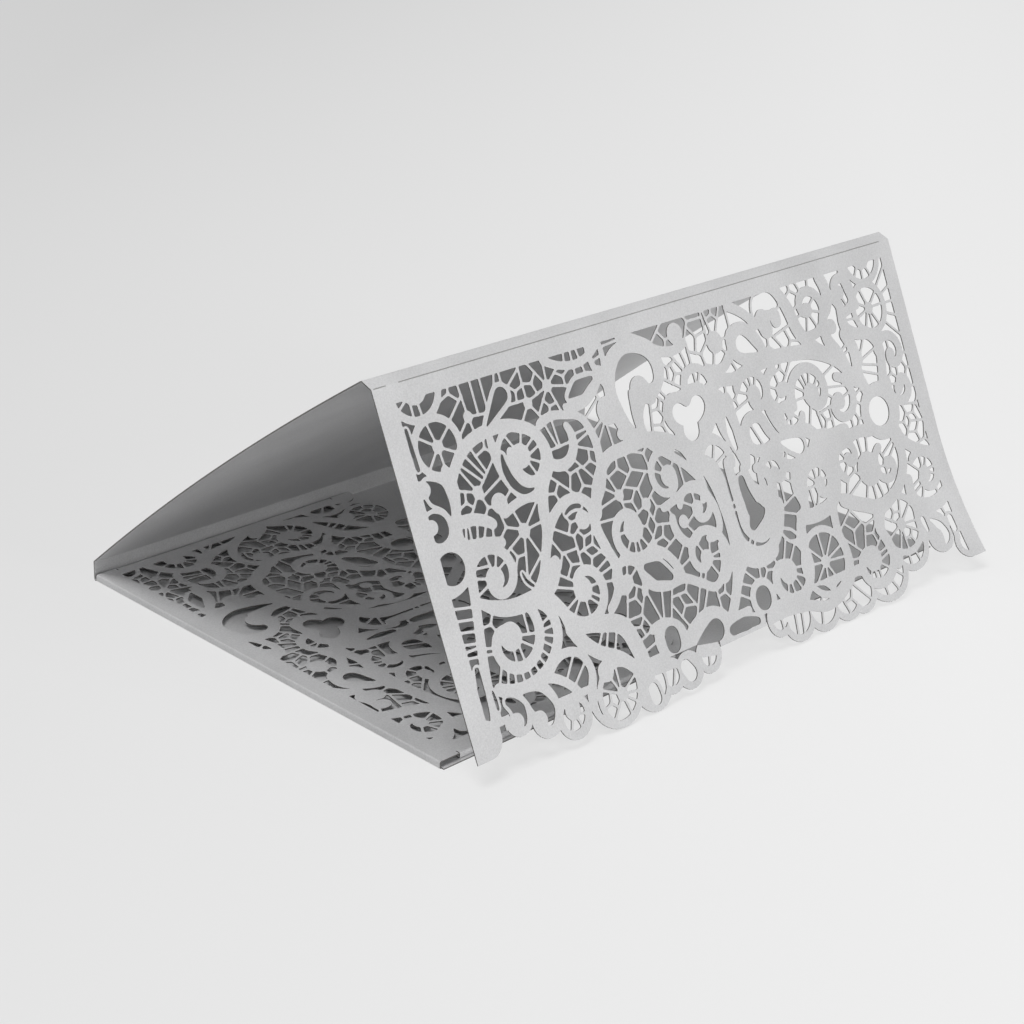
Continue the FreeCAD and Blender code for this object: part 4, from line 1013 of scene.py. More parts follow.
@dataclass
class Outlines:
    """The cut edges of a piece of the lace as closed lines of places in the drawing."""

    # The sides of a grid cell, in turn from its first point
    SIDES: ClassVar[tuple[Side, ...]] = ((0, 0, 0), (1, 0, 1), (0, 1, 0), (0, 0, 1))

    shape: DistanceGrid
    tolerance: float = 0.015
    least_hole: float = 0.7
    least_step: float = 0.06
    least_share: float = 0.1
    edge: np.ndarray = field(init=False)
    holes: list[np.ndarray] = field(init=False)

    def __post_init__(self) -> None:
        """Follow the card's edges and sort them into the outer edge and the holes."""
        self.widen_necks()
        loops = [(self.area(loop), loop) for loop in self.traced()]
        outer = min(loops, key=lambda item: item[0])[1]
        self.edge = self.thinned_loop(outer)
        self.holes = [self.thinned_loop(loop) for area, loop in loops if area > self.least_hole]

    def widen_necks(self) -> None:
        """Keep every neck wider than what the thinned edges may stray, and part no card at a corner."""
        values = self.shape.values
        gap = values > 0
        here, right, above, across = gap[:-1, :-1], gap[:-1, 1:], gap[1:, :-1], gap[1:, 1:]
        for row, column in np.argwhere((here == across) & (right == above) & (right != across)):
            corner = values[row:row + 2, column:column + 2]
            corner[corner > 0] = -self.least_step
        for sign in (-1, 1):
            inside = values * sign > 0
            neck = np.zeros_like(inside)
            neck[:, 1:-1] |= inside[:, 1:-1] & ~inside[:, :-2] & ~inside[:, 2:]
            neck[1:-1] |= inside[1:-1] & ~inside[:-2] & ~inside[2:]
            values[neck] = sign * np.maximum(np.abs(values[neck]), self.least_step)

    @staticmethod
    def area(loop: np.ndarray) -> float:
        """Signed area in a closed line: above zero round a hole, below zero round card."""
        after = np.roll(loop, -1, axis=0)
        return float(np.sum(loop[:, 0] * after[:, 1] - after[:, 0] * loop[:, 1])) / 2

    def steps(self) -> dict[Side, Side]:
        """Find how the card's edge runs through the grid's cells.

        Returns:
            For each side by which it enters a cell, the one by which it leaves it.
        """
        gap = self.shape.values > 0
        corners = np.stack([gap[:-1, :-1], gap[:-1, 1:], gap[1:, 1:], gap[1:, :-1]], axis=-1)
        rows, columns = np.nonzero(corners.any(-1) & ~corners.all(-1))
        found = {}
        for row, column, here in zip(rows.tolist(), columns.tolist(), corners[rows, columns].tolist()):
            for k in range(4):
                if not here[k] or here[(k + 1) % 4]:
                    continue
                back = k
                while here[(back - 1) % 4]:
                    back -= 1
                enter, leave = self.SIDES[k], self.SIDES[(back - 1) % 4]
                found[column + enter[0], row + enter[1], enter[2]] = (
                    column + leave[0], row + leave[1], leave[2])
        return found

    def crossing(self, side: Side) -> Point:
        """Find where the card's edge crosses a cell's side.

        Args:
            side: The side.

        Returns:
            The place in the drawing.
        """
        column, row, upright = side
        a = self.shape.values[row, column]
        b = self.shape.values[row + upright, column + 1 - upright]
        share = min(1 - self.least_share, max(self.least_share, a / (a - b)))
        return (self.shape.low[0] + (column + share * (1 - upright)) * self.shape.cell,
                self.shape.low[1] + (row + share * upright) * self.shape.cell)

    def traced(self) -> list[np.ndarray]:
        """Follow the card's edges from cell to cell.

        Returns:
            Every closed line along them.
        """
        steps = self.steps()
        loops = []
        while steps:
            side = next(iter(steps))
            loop = []
            while side in steps:
                loop.append(self.crossing(side))
                side = steps.pop(side)
            loops.append(np.array(loop))
        return loops

    def thinned(self, line: np.ndarray) -> np.ndarray:
        """Keep only the points of an open line that hold it within the tolerance.

        Args:
            line: The line's points.

        Returns:
            The points that are kept.
        """
        keep = np.zeros(len(line), bool)
        keep[[0, -1]] = True
        spans = [(0, len(line) - 1)]
        while spans:
            i, j = spans.pop()
            if j - i < 2:
                continue
            chord = line[j] - line[i]
            away = line[i + 1:j] - line[i]
            length = float(np.hypot(*chord))
            if length > 0:
                offset = np.abs(away[:, 0] * chord[1] - away[:, 1] * chord[0]) / length
            else:
                offset = np.hypot(*away.T)
            k = int(np.argmax(offset))
            if offset[k] > self.tolerance:
                keep[i + 1 + k] = True
                spans += [(i, i + 1 + k), (i + 1 + k, j)]
        return line[keep]

    def thinned_loop(self, loop: np.ndarray) -> np.ndarray:
        """Thin a closed line as two halves, from one point to the one farthest away and back.

        Args:
            loop: The line's points.

        Returns:
            The points that are kept.
        """
        across = int(np.argmax(np.hypot(*(loop - loop[0]).T)))
        halves = loop[:across + 1], np.concatenate([loop[across:], loop[:1]])
        return np.concatenate([self.thinned(half)[:-1] for half in halves])


# --- The folds ----------------------------------------------------------------------------------------

@dataclass
class FoldPath:
    """A strip of the sheet seen from its edge: straight runs with a small round fold at each corner.

    corners are the places of the folds in a plane, and radii the fold radius at each inner one, where
    zero keeps the corner as it is.
    """

    corners: list[Point]
    radii: list[float]
    fold_steps: int = 5
    support: float = 0.35
    points: np.ndarray = field(init=False)
    headings: np.ndarray = field(init=False)
    run: np.ndarray = field(init=False)
    marks: list[float] = field(init=False)

    def __post_init__(self) -> None:
        """Work out the path's points, its direction at each, and where the sheet bends."""
        corners = [np.array(c, float) for c in self.corners]
        ways = [(b - a) / np.hypot(*(b - a)) for a, b in zip(corners, corners[1:])]
        points, headings, folds = [corners[0]], [ways[0]], []
        for corner, before, after, radius in zip(corners[1:], ways, ways[1:], self.radii):
            bend = self.bend(corner, before, after, radius)
            folds.append(range(len(points), len(points) + len(bend)))
            points += [place for place, _ in bend]
            headings += [heading for _, heading in bend]
        self.points = np.array([*points, corners[-1]])
        self.headings = np.array([*headings, ways[-1]])
        self.run = np.concatenate([[0], np.cumsum(np.hypot(*np.diff(self.points, axis=0).T))])
        self.marks = []
        for fold in folds:
            at = [float(self.run[k]) for k in fold]
            self.marks += [at[0] - self.support, *at, at[-1] + self.support] if len(fold) > 1 else at

    def bend(self, corner: np.ndarray, before: np.ndarray, after: np.ndarray,
             radius: float) -> list[tuple[np.ndarray, np.ndarray]]:
        """Lead the sheet round one corner.

        Args:
            corner: The corner's place.
            before: The direction before it.
            after: The direction after it.
            radius: The fold's radius, or zero.

        Returns:
            Places along the bend with the direction at each.
        """
        if radius == 0:
            return [(corner, (before + after) / np.hypot(*(before + after)))]
        turn = math.atan2(before[0] * after[1] - before[1] * after[0], float(before @ after))
        start = corner - before * (radius * math.tan(abs(turn) / 2))
        inward = np.array([-before[1], before[0]]) * math.copysign(radius, turn)
        bend = []
        for k in range(self.fold_steps + 1):
            angle = turn * k / self.fold_steps
            cos, sin = math.cos(angle), math.sin(angle)
            arm = np.array([-inward[0] * cos + inward[1] * sin, -inward[0] * sin - inward[1] * cos])
            heading = np.array([before[0] * cos - before[1] * sin, before[0] * sin + before[1] * cos])
            bend.append((start + inward + arm, heading))
        return bend

    @property
    def length(self) -> float:
        """Length of the sheet along the path."""
        return float(self.run[-1])

    def at(self, s: np.ndarray, lift: np.ndarray) -> np.ndarray:
        """Places near the sheet's middle; beyond the path's ends the sheet goes straight on.

        Args:
            s: Distances along the path.
            lift: Distances from the sheet's middle to its left, as one walks along the path.

        Returns:
            The places in the path's plane.
        """
        places = np.stack([np.interp(s, self.run, self.points[:, k]) for k in (0, 1)], axis=-1)
        over = np.maximum(s - self.run[-1], 0)[:, None] * self.headings[-1]
        under = np.minimum(s, 0)[:, None] * self.headings[0]
        ways = np.stack([np.interp(s, self.run, self.headings[:, k]) for k in (0, 1)], axis=-1)
        ways /= np.hypot(ways[:, 0], ways[:, 1])[:, None]
        left = np.stack([-ways[:, 1], ways[:, 0]], axis=-1)
        return places + over + under + left * lift[:, None]


@dataclass
class CardBlank:
    """The flat sheet, and how it folds: its sizes in mm and angles in degrees."""

    width: float
    thickness: float = 0.3
    table_gap: float = 0.03
    # Base, rear spine, back panel, ridge spine and flap
    base_depth: float = 127.0
    rear_spine_height: float = 5.0
    back_length: float = 125.6
    back_rise: float = 36.9
    back_bow: float = 2.0
    bow_steps: int = 24
    ridge_width: float = 3.2
    ridge_drop: float = 20.6
    flap_reach: float = 88.0
    fold_radius: float = 0.45
    # The flap's curled corner: where it starts on the right side and at the mouth, and how it is rolled
    curl_right_at: float = 50.0
    curl_bottom: Point = (115.0, 87.5)
    curl_radius: float = 85.0
    curl_step: float = 2.0
    curl_span: float = 50.0
    # The scores on the flap's crease, with the gap between them
    score_from: float = 0.6
    score_gap: Point = (4.0, 7.5)
    score_end: float = 4.0
    score_width: float = 0.2
    score_slope: float = 0.05
    score_depth: float = 0.12
    # The pocket, and where it lies in the drawing
    pocket_height: float = 1.8
    pocket_gap: float = 0.8
    pocket_rear_at: float = 29.5
    pocket_fold_at: float = 2.6
    pocket_borders: tuple[float, float, float] = (3.8, 5.0, 5.0)
    pocket_radius: float = 0.25
    strip: float = 0.5
    # The pocket's glue tabs
    tab_setback: float = 6.0
    tab_length: float = 70.0
    tab_width: float = 12.0
    tab_mitre: float = 8.0
    tab_shoulder: float = 0.2
    tab_relief: float = 0.3
    tab_lead: float = 1.0
    # Slack where one part of the blank is told from another
    fine: float = 0.001
    clear_of_edge: float = 0.01
    main: FoldPath = field(init=False)
    pocket: FoldPath = field(init=False)
    tab: FoldPath = field(init=False)

    def __post_init__(self) -> None:
        """Lay out the three paths along which the sheet folds."""
        self.main = self.main_path()
        self.pocket = self.pocket_path()
        self.tab = self.tab_path()

    def main_path(self) -> FoldPath:
        """Lay out the base, rear spine, bowed back, ridge spine and flap.

        Returns:
            Their path in the plane across the ridge.
        """
        middle = self.thickness / 2
        front, rear = (-self.base_depth / 2, middle), (self.base_depth / 2, middle)
        spine_top = (rear[0], middle + self.rear_spine_height)
        rise, drop = math.radians(self.back_rise), math.radians(self.ridge_drop)
        way = np.array([-math.cos(rise), math.sin(rise)])
        out = np.array([math.sin(rise), math.cos(rise)])
        ridge = np.array(spine_top) + way * self.back_length
        crease = ridge + self.ridge_width * np.array([-math.cos(drop), -math.sin(drop)])
        bow = []
        for k in range(1, self.bow_steps):
            t = k / self.bow_steps
            bow.append(tuple(np.array(spine_top) + way * self.back_length * t
                             + out * self.back_bow * 4 * t * (1 - t)))
        lean = self.flap_lean(float(crease[1]))
        end = crease + self.flap_reach * np.array([-math.cos(lean), -math.sin(lean)])
        corners = [front, rear, spine_top, *bow, tuple(ridge), tuple(crease), tuple(end)]
        fold = self.fold_radius
        return FoldPath(corners, [fold, fold] + [0.0] * len(bow) + [fold, fold])

    def flap_lean(self, crease_height: float) -> float:
        """Find how steeply the flap falls when its deepest lobe just meets the table.

        Args:
            crease_height: Height of the sheet's middle at the flap's crease.

        Returns:
            The flap's angle below the horizontal in radians.
        """
        reach = max(lobe.v + lobe.radius for lobe in LOBES) + self.table_gap
        half = self.thickness / 2
        return math.asin(crease_height / math.hypot(reach, half)) - math.atan2(half, reach)

    def pocket_path(self) -> FoldPath:
        """Lay out the base's left end and the pocket panel over it.

        Returns:
            Their path in the plane along the ridge.
        """
        middle = self.thickness / 2
        end = -self.width / 2 + middle
        top = self.pocket_height - middle
        corners = [(-self.width / 2 + self.strip, middle), (end, middle), (end, top), (0.0, top)]
        return FoldPath(corners, [self.pocket_radius] * 2)

    def tab_path(self) -> FoldPath:
        """Lay out the pocket's side, its side wall and a glue tab.

        Returns:
            Their path in the plane across the ridge, from the base's middle outwards.
        """
        middle = self.thickness / 2
        outer = self.base_depth / 2 - self.pocket_gap - middle
        low = self.thickness + middle
        top = self.pocket_height - middle
        corners = [(outer - self.tab_lead, top), (outer, top), (outer, low), (outer - self.tab_width, low)]
        return FoldPath(corners, [self.pocket_radius] * 2)

    # Places of the drawing and of the folds on the blank

    def flap_place(self, places: np.ndarray) -> np.ndarray:
        """Places of the drawing on the blank's flap."""
        return np.stack([places[:, 0] - self.width / 2, self.crease_line + places[:, 1]], axis=-1)

    def pocket_place(self, places: np.ndarray) -> np.ndarray:
        """Find places of the drawing on the blank's pocket panel.

        Args:
            places: Places in the drawing.

        Returns:
            The same places as p and q.
        """
        x = places[:, 1] - self.pocket_fold_at - self.width / 2
        q = self.base_depth - self.pocket_gap + self.pocket_rear_at - places[:, 0]
        return np.stack([self.pocket_p(x), q], axis=-1)

    @property
    def crease_line(self) -> float:
        """The blank's q of the crease between the ridge spine and the flap."""
        return self.main.length - self.flap_reach

    @property
    def pocket_piece(self) -> Point:
        """Lowest and highest u of the part of the drawing that the pocket repeats."""
        return self.pocket_rear_at, self.pocket_rear_at + self.base_depth - 2 * self.pocket_gap

    @property
    def pocket_line(self) -> float:
        """The blank's p where the pocket's part of it starts."""
        return -self.width / 2 + self.strip

    @property
    def pocket_sides(self) -> Point:
        """The blank's q at the pocket panel's front and rear sides, where the flat panel ends."""
        return self.pocket_gap, self.base_depth - self.pocket_gap

    @property
    def tab_line(self) -> float:
        """Distance from the base's middle at which the pocket's sides start to fold down."""
        return float(self.tab.points[0, 0])

    def scores(self) -> list[Point]:
        """Where each score along the flap's crease starts and ends, as the blank's p."""
        left, right = -self.width / 2, self.width / 2
        return [(left + self.score_from, left + self.score_gap[0]),
                (left + self.score_gap[1], right - self.score_end)]

    def pocket_p(self, x: float | np.ndarray) -> float | np.ndarray:
        """The blank's p of a place on the pocket panel, from its x in space."""
        return self.pocket_line - self.pocket.length - x

    def on_pocket(self, p: float, q: float) -> bool:
        """Whether a place of the blank is part of the pocket.

        Args:
            p: Its place along the ridge.
            q: Its place along the base's left edge.

        Returns:
            True on the pocket panel, its tabs and its fold.
        """
        front, rear = self.pocket_sides
        on_fold = p < self.pocket_line - self.fine and front - self.fine < q < rear + self.fine
        return on_fold or p < -self.width / 2 - self.clear_of_edge

    # Folding

    def curl_line(self) -> tuple[np.ndarray, np.ndarray]:
        """Find the line on the blank from which the flap's corner curls.

        Returns:
            A place on the line, and the direction across it towards the corner.
        """
        start = np.array([self.width, self.curl_right_at])
        line = np.array(self.curl_bottom) - start
        line /= np.hypot(*line)
        return self.flap_place(start[None, :])[0], np.array([line[1], -line[0]])

    def curl(self, placed: np.ndarray, flat: np.ndarray) -> None:
        """Roll the flap's lower right corner outwards.

        Args:
            placed: Places in space, which are changed.
            flat: The same places on the blank, with their lift above the sheet's middle.
        """
        start, away = self.curl_line()
        beyond = (flat[:, :2] - start) @ away
        rolled = (beyond > 0) & (flat[:, 1] > self.crease_line)
        angle = beyond[rolled] / self.curl_radius
        radius = self.curl_radius + flat[rolled, 2]
        slide = radius * np.sin(angle) - beyond[rolled]
        lift = radius * (1 - np.cos(angle))
        down = self.main.headings[-1]
        placed[rolled, 0] += slide * away[0]
        placed[rolled, 1] += slide * away[1] * down[0] + lift * down[1]
        placed[rolled, 2] += slide * away[1] * down[1] - lift * down[0]
        placed[rolled, 0] = np.minimum(placed[rolled, 0], self.width / 2)

    def fold(self, flat: np.ndarray) -> np.ndarray:
        """Fold places of the blank.

        Args:
            flat: Places on the blank in mm, as p, q and the lift above the sheet's middle.

        Returns:
            Places in space, in mm.
        """
        placed = np.concatenate([flat[:, :1], self.main.at(flat[:, 1], flat[:, 2])], axis=1)
        self.curl(placed, flat)
        left = np.array([self.on_pocket(p, q) for p, q, _ in flat.tolist()])
        lift = -flat[left, 2]
        over = self.pocket.at(self.pocket_line - flat[left, 0], lift)
        across = flat[left, 1] - self.base_depth / 2
        beyond = np.abs(across) - self.tab_line
        turned = self.tab.at(np.maximum(beyond, 0), lift)
        first = -self.width / 2 + self.tab_setback
        last = first + self.tab_length
        on_tab = (beyond > 0) & (over[:, 0] > first - self.fine) & (over[:, 0] < last + self.fine)
        y = np.where(on_tab, np.sign(across) * turned[:, 0], across)
        z = np.where(on_tab, turned[:, 1], over[:, 1])
        placed[left] = np.stack([over[:, 0], y, z], axis=-1)
        return placed


# --- The finishes -------------------------------------------------------------------------------------

class Sum(Enum):
    """What a node works out from its numbers."""

    ADD = "ADD"
    MULTIPLY = "MULTIPLY"
    MULTIPLY_ADD = "MULTIPLY_ADD"
    MAXIMUM = "MAXIMUM"


@dataclass
class NodeBoard:
    """The nodes of a material or of the world, with short ways to add more."""

    tree: bpy.types.NodeTree

    def add(self, kind: str, inputs: dict[str | int, object] | None = None) -> bpy.types.Node:
        """Add a node.

        Args:
            kind: What kind of node it is, by the name of its class.
            inputs: For an input's name or number, the socket that feeds it or its value.

        Returns:
            The node.
        """
        node = self.tree.nodes.new(f"ShaderNode{kind}")
        for key, given in (inputs or {}).items():
            self.feed(node.inputs[key], given)
        return node

    def feed(self, entry: bpy.types.NodeSocket, given: object) -> None:
        """Give a node's input a value, or the socket that feeds it.

        Args:
            entry: The input.
            given: The socket or the value.
        """
        if isinstance(given, bpy.types.NodeSocket):
            self.tree.links.new(given, entry)
        else:
            entry.default_value = given

    def work_out(self, what: Sum, *given: object) -> bpy.types.NodeSocket:
        """Add a node that works out a number.

        Args:
            what: What it works out.
            given: The sockets or values that it takes, in order.

        Returns:
            The socket that holds the answer.
        """
        node = self.add("Math", dict(enumerate(given)))
        node.operation = what.value
        return node.outputs[0]

    def noise(self, place: bpy.types.NodeSocket, scale: float, detail: float) -> bpy.types.NodeSocket:
        """Add a noise pattern.

        Args:
            place: The socket that gives the place.
            scale: How many times it repeats in a metre, more or less.
            detail: How fine its finest part is.

        Returns:
            The socket that holds its strength.
        """
        node = self.add("TexNoise", {"Vector": place, "Scale": scale, "Detail": detail})
        return node.outputs["Fac"]

    def shown(self) -> bpy.types.NodeSocket:
        """Tell rays of sight, gloss or glass from rays that gather light.

        Returns:
            The socket that holds 1 for a ray of sight, gloss or glass, and 0 for another.
        """
        rays = self.add("LightPath").outputs
        seen = self.work_out(Sum.MAXIMUM, rays["Is Camera Ray"], rays["Is Glossy Ray"])
        return self.work_out(Sum.MAXIMUM, seen, rays["Is Transmission Ray"])


@dataclass(frozen=True)
class CardFinish:
    """Pearly card: a pale face with a fine fibre and a soft shimmer, or a darker finish for its cut edges,
    partly scorch and partly painted shade, and for its scores, painted shade.
    """

    name: str
    colour: tuple[float, float, float]
    roughness: float
    shimmer: float
    gloss: float = 0.4
    grain_scale: float = 2600.0
    grain_detail: float = 3.0
    grain_share: float = 0.6
    grain_height: float = 0.012
    grain_relief: float = 0.45
    cloud_scale: float = 55.0
    cloud_detail: float = 2.0
    colour_from: float = 0.3
    colour_to: float = 0.7
    colour_spread: float = 0.13
    roughness_spread: float = 0.06

    def build(self) -> bpy.types.Material:
        """Make the material from its nodes.

        Returns:
            The finished material.
        """
        material = bpy.data.materials.new(self.name)
        material.use_nodes = True
        board = NodeBoard(material.node_tree)
        place = board.add("TexCoord").outputs["Object"]
        grain = board.noise(place, self.grain_scale, self.grain_detail)
        cloud = board.noise(place, self.cloud_scale, self.cloud_detail)
        clouded = board.work_out(Sum.MULTIPLY, cloud, 1 - self.grain_share)
        mixed = board.work_out(Sum.MULTIPLY_ADD, grain, self.grain_share, clouded)
        ramp = board.add("ValToRGB", {"Fac": mixed})
        ends = ((self.colour_from, 1 - self.colour_spread), (self.colour_to, 1 + self.colour_spread))
        for element, (position, factor) in zip(ramp.color_ramp.elements, ends):
            element.position = position
            element.color = (*(min(1.0, part * factor) for part in self.colour), 1.0)
        rough = board.add("MapRange", {
            "Value": grain,
            "To Min": self.roughness - self.roughness_spread,
            "To Max": self.roughness + self.roughness_spread})
        bump = board.add("Bump", {
            "Height": grain, "Strength": self.grain_relief, "Distance": self.grain_height * MM})
        shader = material.node_tree.nodes["Principled BSDF"]
        board.feed(shader.inputs["Base Color"], ramp.outputs["Color"])
        board.feed(shader.inputs["Roughness"], rough.outputs["Result"])
        board.feed(shader.inputs["Metallic"], self.shimmer)
        board.feed(shader.inputs["Specular IOR Level"], self.gloss)
        board.feed(shader.inputs["Normal"], bump.outputs["Normal"])
        return material


class Surface(IntEnum):
    """The card's kinds of surface, as the places of their finishes in its mesh."""

    FACE = 0
    CUT = 1
    SCORE = 2


FINISHES: dict[Surface, CardFinish] = {
    Surface.FACE: CardFinish("pearl_card", (0.62, 0.62, 0.625), roughness=0.4, shimmer=0.15),
    # The cut edges' dark colour is partly the laser's scorch and partly painted shade on the walls of the
    # holes.
    Surface.CUT: CardFinish("cut_edge_scorch_and_painted_shade", (0.15, 0.145, 0.14), roughness=0.7, shimmer=0.0),
    # The score's grey floor is painted shade in the groove of the score.
    Surface.SCORE: CardFinish("score_painted_shade", (0.36, 0.36, 0.355), roughness=0.7, shimmer=0.0),
}


# --- The card -----------------------------------------------------------------------------------------

@dataclass
class FoldedCard:
    """The whole sheet: cut, given its thickness and folded.

    Sizes are in mm and angles in degrees, but the turn for the fill is in radians.
    """

    NAME: ClassVar[str] = "folded_card"

    blank: CardBlank
    lace: Lace
    fill_turn: float = 1.4
    lace_past: float = 2.0
    plain_margin: float = 2.0
    flap_margin: float = 1.0
    press_slack: float = 0.005
    sharp_angle: float = 35.0

    def build(self) -> bpy.types.Object:
        """Make the card.

        Returns:
            The card's object, with its place in its mesh.
        """
        blank = bmesh.new()
        self.cut(blank)
        self.crease(blank)
        self.thicken(blank)
        self.fold(blank)
        mesh = bpy.data.meshes.new(self.NAME)
        blank.to_mesh(mesh)
        blank.free()
        for surface in Surface:
            mesh.materials.append(FINISHES[surface].build())
        mesh.shade_smooth()
        mesh.set_sharp_from_angle(angle=math.radians(self.sharp_angle))
        card = bpy.data.objects.new(self.NAME, mesh)
        bpy.context.scene.collection.objects.link(card)
        return card

    def cut(self, blank: bmesh.types.BMesh) -> None:
        """Cut the blank, with the lace of its flap and its pocket, as one flat face.

        It is filled in a turned position, in which the fill leaves no edge open.

        Args:
            blank: An empty mesh.
        """
        size, far = self.blank, self.lace.reach + self.lace_past
        low, high = size.pocket_piece
        flap = Outlines(self.lace.cut_shape((0, 0), (size.width, far), (0.0, 0.0, 0.0)))
        pocket = Outlines(self.lace.cut_shape((low, size.pocket_fold_at), (high, far), size.pocket_borders))
        loops = [self.outer_edge(flap.edge, pocket.edge)]
        loops += [size.flap_place(hole) for hole in flap.holes]
        loops += [size.pocket_place(hole) for hole in pocket.holes]
        for loop in loops:
            corners = [blank.verts.new((float(p), float(q), 0.0)) for p, q in loop]
            for a, b in zip(corners, corners[1:] + corners[:1]):
                blank.edges.new((a, b))
        askew = Matrix.Rotation(self.fill_turn, 3, "Z")
        bmesh.ops.rotate(blank, cent=(0, 0, 0), matrix=askew, verts=blank.verts[:])
        bmesh.ops.triangle_fill(blank, edges=blank.edges[:], use_beauty=True)
        bmesh.ops.rotate(blank, cent=(0, 0, 0), matrix=askew.transposed(), verts=blank.verts[:])
        LOG.info("cut %d holes in the flap and %d in the pocket", len(flap.holes), len(pocket.holes))

    def lower_run(self, loop: np.ndarray, from_low_u: bool, low: float, high: float) -> np.ndarray:
        """The part of a closed edge that lies well away from the fold, from one side to the other.

        Args:
            loop: The closed edge.
            from_low_u: Whether the run is to start at its lowest u.
            low: The lowest u that the card has.
            high: The highest u that the card has.

        Returns:
            The run as an open line.
        """
        kept = loop[:, 1] > self.lace.strip_from
        first = int(np.nonzero(kept & ~np.roll(kept, 1))[0][0])
        run = np.roll(loop, -first, axis=0)[:int(kept.sum())]
        run[:, 0] = np.clip(run[:, 0], low, high)
        return run if (run[0, 0] < run[-1, 0]) == from_low_u else run[::-1]

    def outer_edge(self, flap: np.ndarray, pocket: np.ndarray) -> np.ndarray:
        """Join the edges of the sheet's parts, from the base's front left corner round and back.

        Args:
            flap: The flap's outer edge in the drawing.
            pocket: The pocket's outer edge in the drawing.

        Returns:
            The blank's outer edge as one closed line.
        """
        size = self.blank
        left, right = -size.width / 2, size.width / 2
        front, rear = size.pocket_sides
        start = size.pocket_line
        relief = (rear + size.base_depth) / 2
        return np.concatenate([
            np.array([(start, 0.0), (right, 0.0)]),
            size.flap_place(self.lower_run(flap, False, 0.0, size.width)),
            np.array([(left, relief), (start, relief), (start, rear)]),
            self.tab_edge(1),
            size.pocket_place(self.lower_run(pocket, True, *size.pocket_piece)),
            self.tab_edge(-1)[::-1],
            np.array([(start, front)])])

    def tab_edge(self, side: int) -> np.ndarray:
        """Draw the edge of a glue tab, with a small relief cut at each end.

        Args:
            side: 1 for the rear tab and -1 for the front one.

        Returns:
            Its corners on the blank, away from the fold.
        """
        size = self.blank
        middle = size.base_depth / 2
        first = -size.width / 2 + size.tab_setback
        last = first + size.tab_length
        panel = middle - size.pocket_gap
        inner, outer = size.tab_line, size.tab_line + size.tab.length
        shoulder = inner + size.tab.length * size.tab_shoulder
        corners = [
            (first - size.tab_relief, panel), (first - size.tab_relief, inner), (first, inner),
            (first, shoulder), (first + size.tab_mitre, outer), (last, outer), (last, inner),
            (last + size.tab_relief, inner), (last + size.tab_relief, panel)]
        return np.array([(size.pocket_p(x), middle + side * y) for x, y in corners])

    def line_scores(self, blank: bmesh.types.BMesh) -> None:
        """Part the sheet round each score on the flap's crease, so that its floor can be pressed down.

        Args:
            blank: The flat sheet.
        """
        size = self.blank
        middle = size.crease_line
        near = [f for f in blank.faces if abs(f.calc_center_median().y - middle) < size.main.support]
        half, inner = size.score_width / 2, size.score_width / 2 - size.score_slope
        lines = [((0, middle + q), (0, 1)) for q in (-half, -inner, inner, half)]
        for a, b in size.scores():
            lines += [((p, 0), (1, 0)) for p in (a, a + size.score_slope, b - size.score_slope, b)]
        self.part(blank, near, lines)

    def press_scores(self, blank: bmesh.types.BMesh) -> None:
        """Press the floor of each score down from the sheet's outside.

        Args:
            blank: The flat sheet with its thickness.
        """
        size = self.blank
        half, slope = size.score_width / 2, size.score_slope - self.press_slack
        for a, b in size.scores():
            for face in blank.faces:
                p, q, z = face.calc_center_median()
                if z < 0 and abs(q - size.crease_line) < half and a < p < b:
                    # The score's floor takes the grey score finish, which is painted shade.
                    face.material_index = Surface.SCORE
            for vert in blank.verts:
                p, q, z = vert.co
                if z < 0 and abs(q - size.crease_line) < half - slope and a + slope < p < b - slope:
                    vert.co.z += size.score_depth

    def halves(self, blank: bmesh.types.BMesh) -> tuple[list[bmesh.types.BMFace], list[bmesh.types.BMFace]]:
        """Sort the flat sheet's faces.

        Args:
            blank: The flat sheet.

        Returns:
            Those from the base to the flap, and those of the pocket.
        """
        main, pocket = [], []
        for face in blank.faces:
            (pocket if self.blank.on_pocket(*face.calc_center_median().xy) else main).append(face)
        return main, pocket

    def crease(self, blank: bmesh.types.BMesh) -> None:
        """Part the flat sheet's faces along every line where it bends.

        Args:
            blank: The flat sheet.
        """
        size = self.blank
        self.part(blank, blank.faces[:], [((size.pocket_line, 0), (1, 0))])
        self.clear_plain(blank, *self.halves(blank))
        main, pocket = self.halves(blank)
        self.part(blank, main, [((0, q), (0, 1)) for q in size.main.marks])
        self.line_scores(blank)
        self.part(blank, pocket, [((size.pocket_line - s, 0), (1, 0)) for s in size.pocket.marks])
        middle = size.base_depth / 2
        for side in (1, -1):
            marks = [middle + side * (size.tab_line + s) for s in (0.0, *size.tab.marks)]
            self.part(blank, self.halves(blank)[1], [((0, q), (0, 1)) for q in marks])
        start, away = size.curl_line()
        flap_from = size.crease_line + self.flap_margin
        flap = [f for f in self.halves(blank)[0] if f.calc_center_median().y > flap_from]
        distances = np.arange(0.0, size.curl_span, size.curl_step)
        self.part(blank, flap, [(tuple(start + away * d), tuple(away)) for d in distances])
        bmesh.ops.triangulate(blank, faces=blank.faces[:])
        bmesh.ops.reverse_faces(blank, faces=[f for f in blank.faces if f.normal.z < 0])

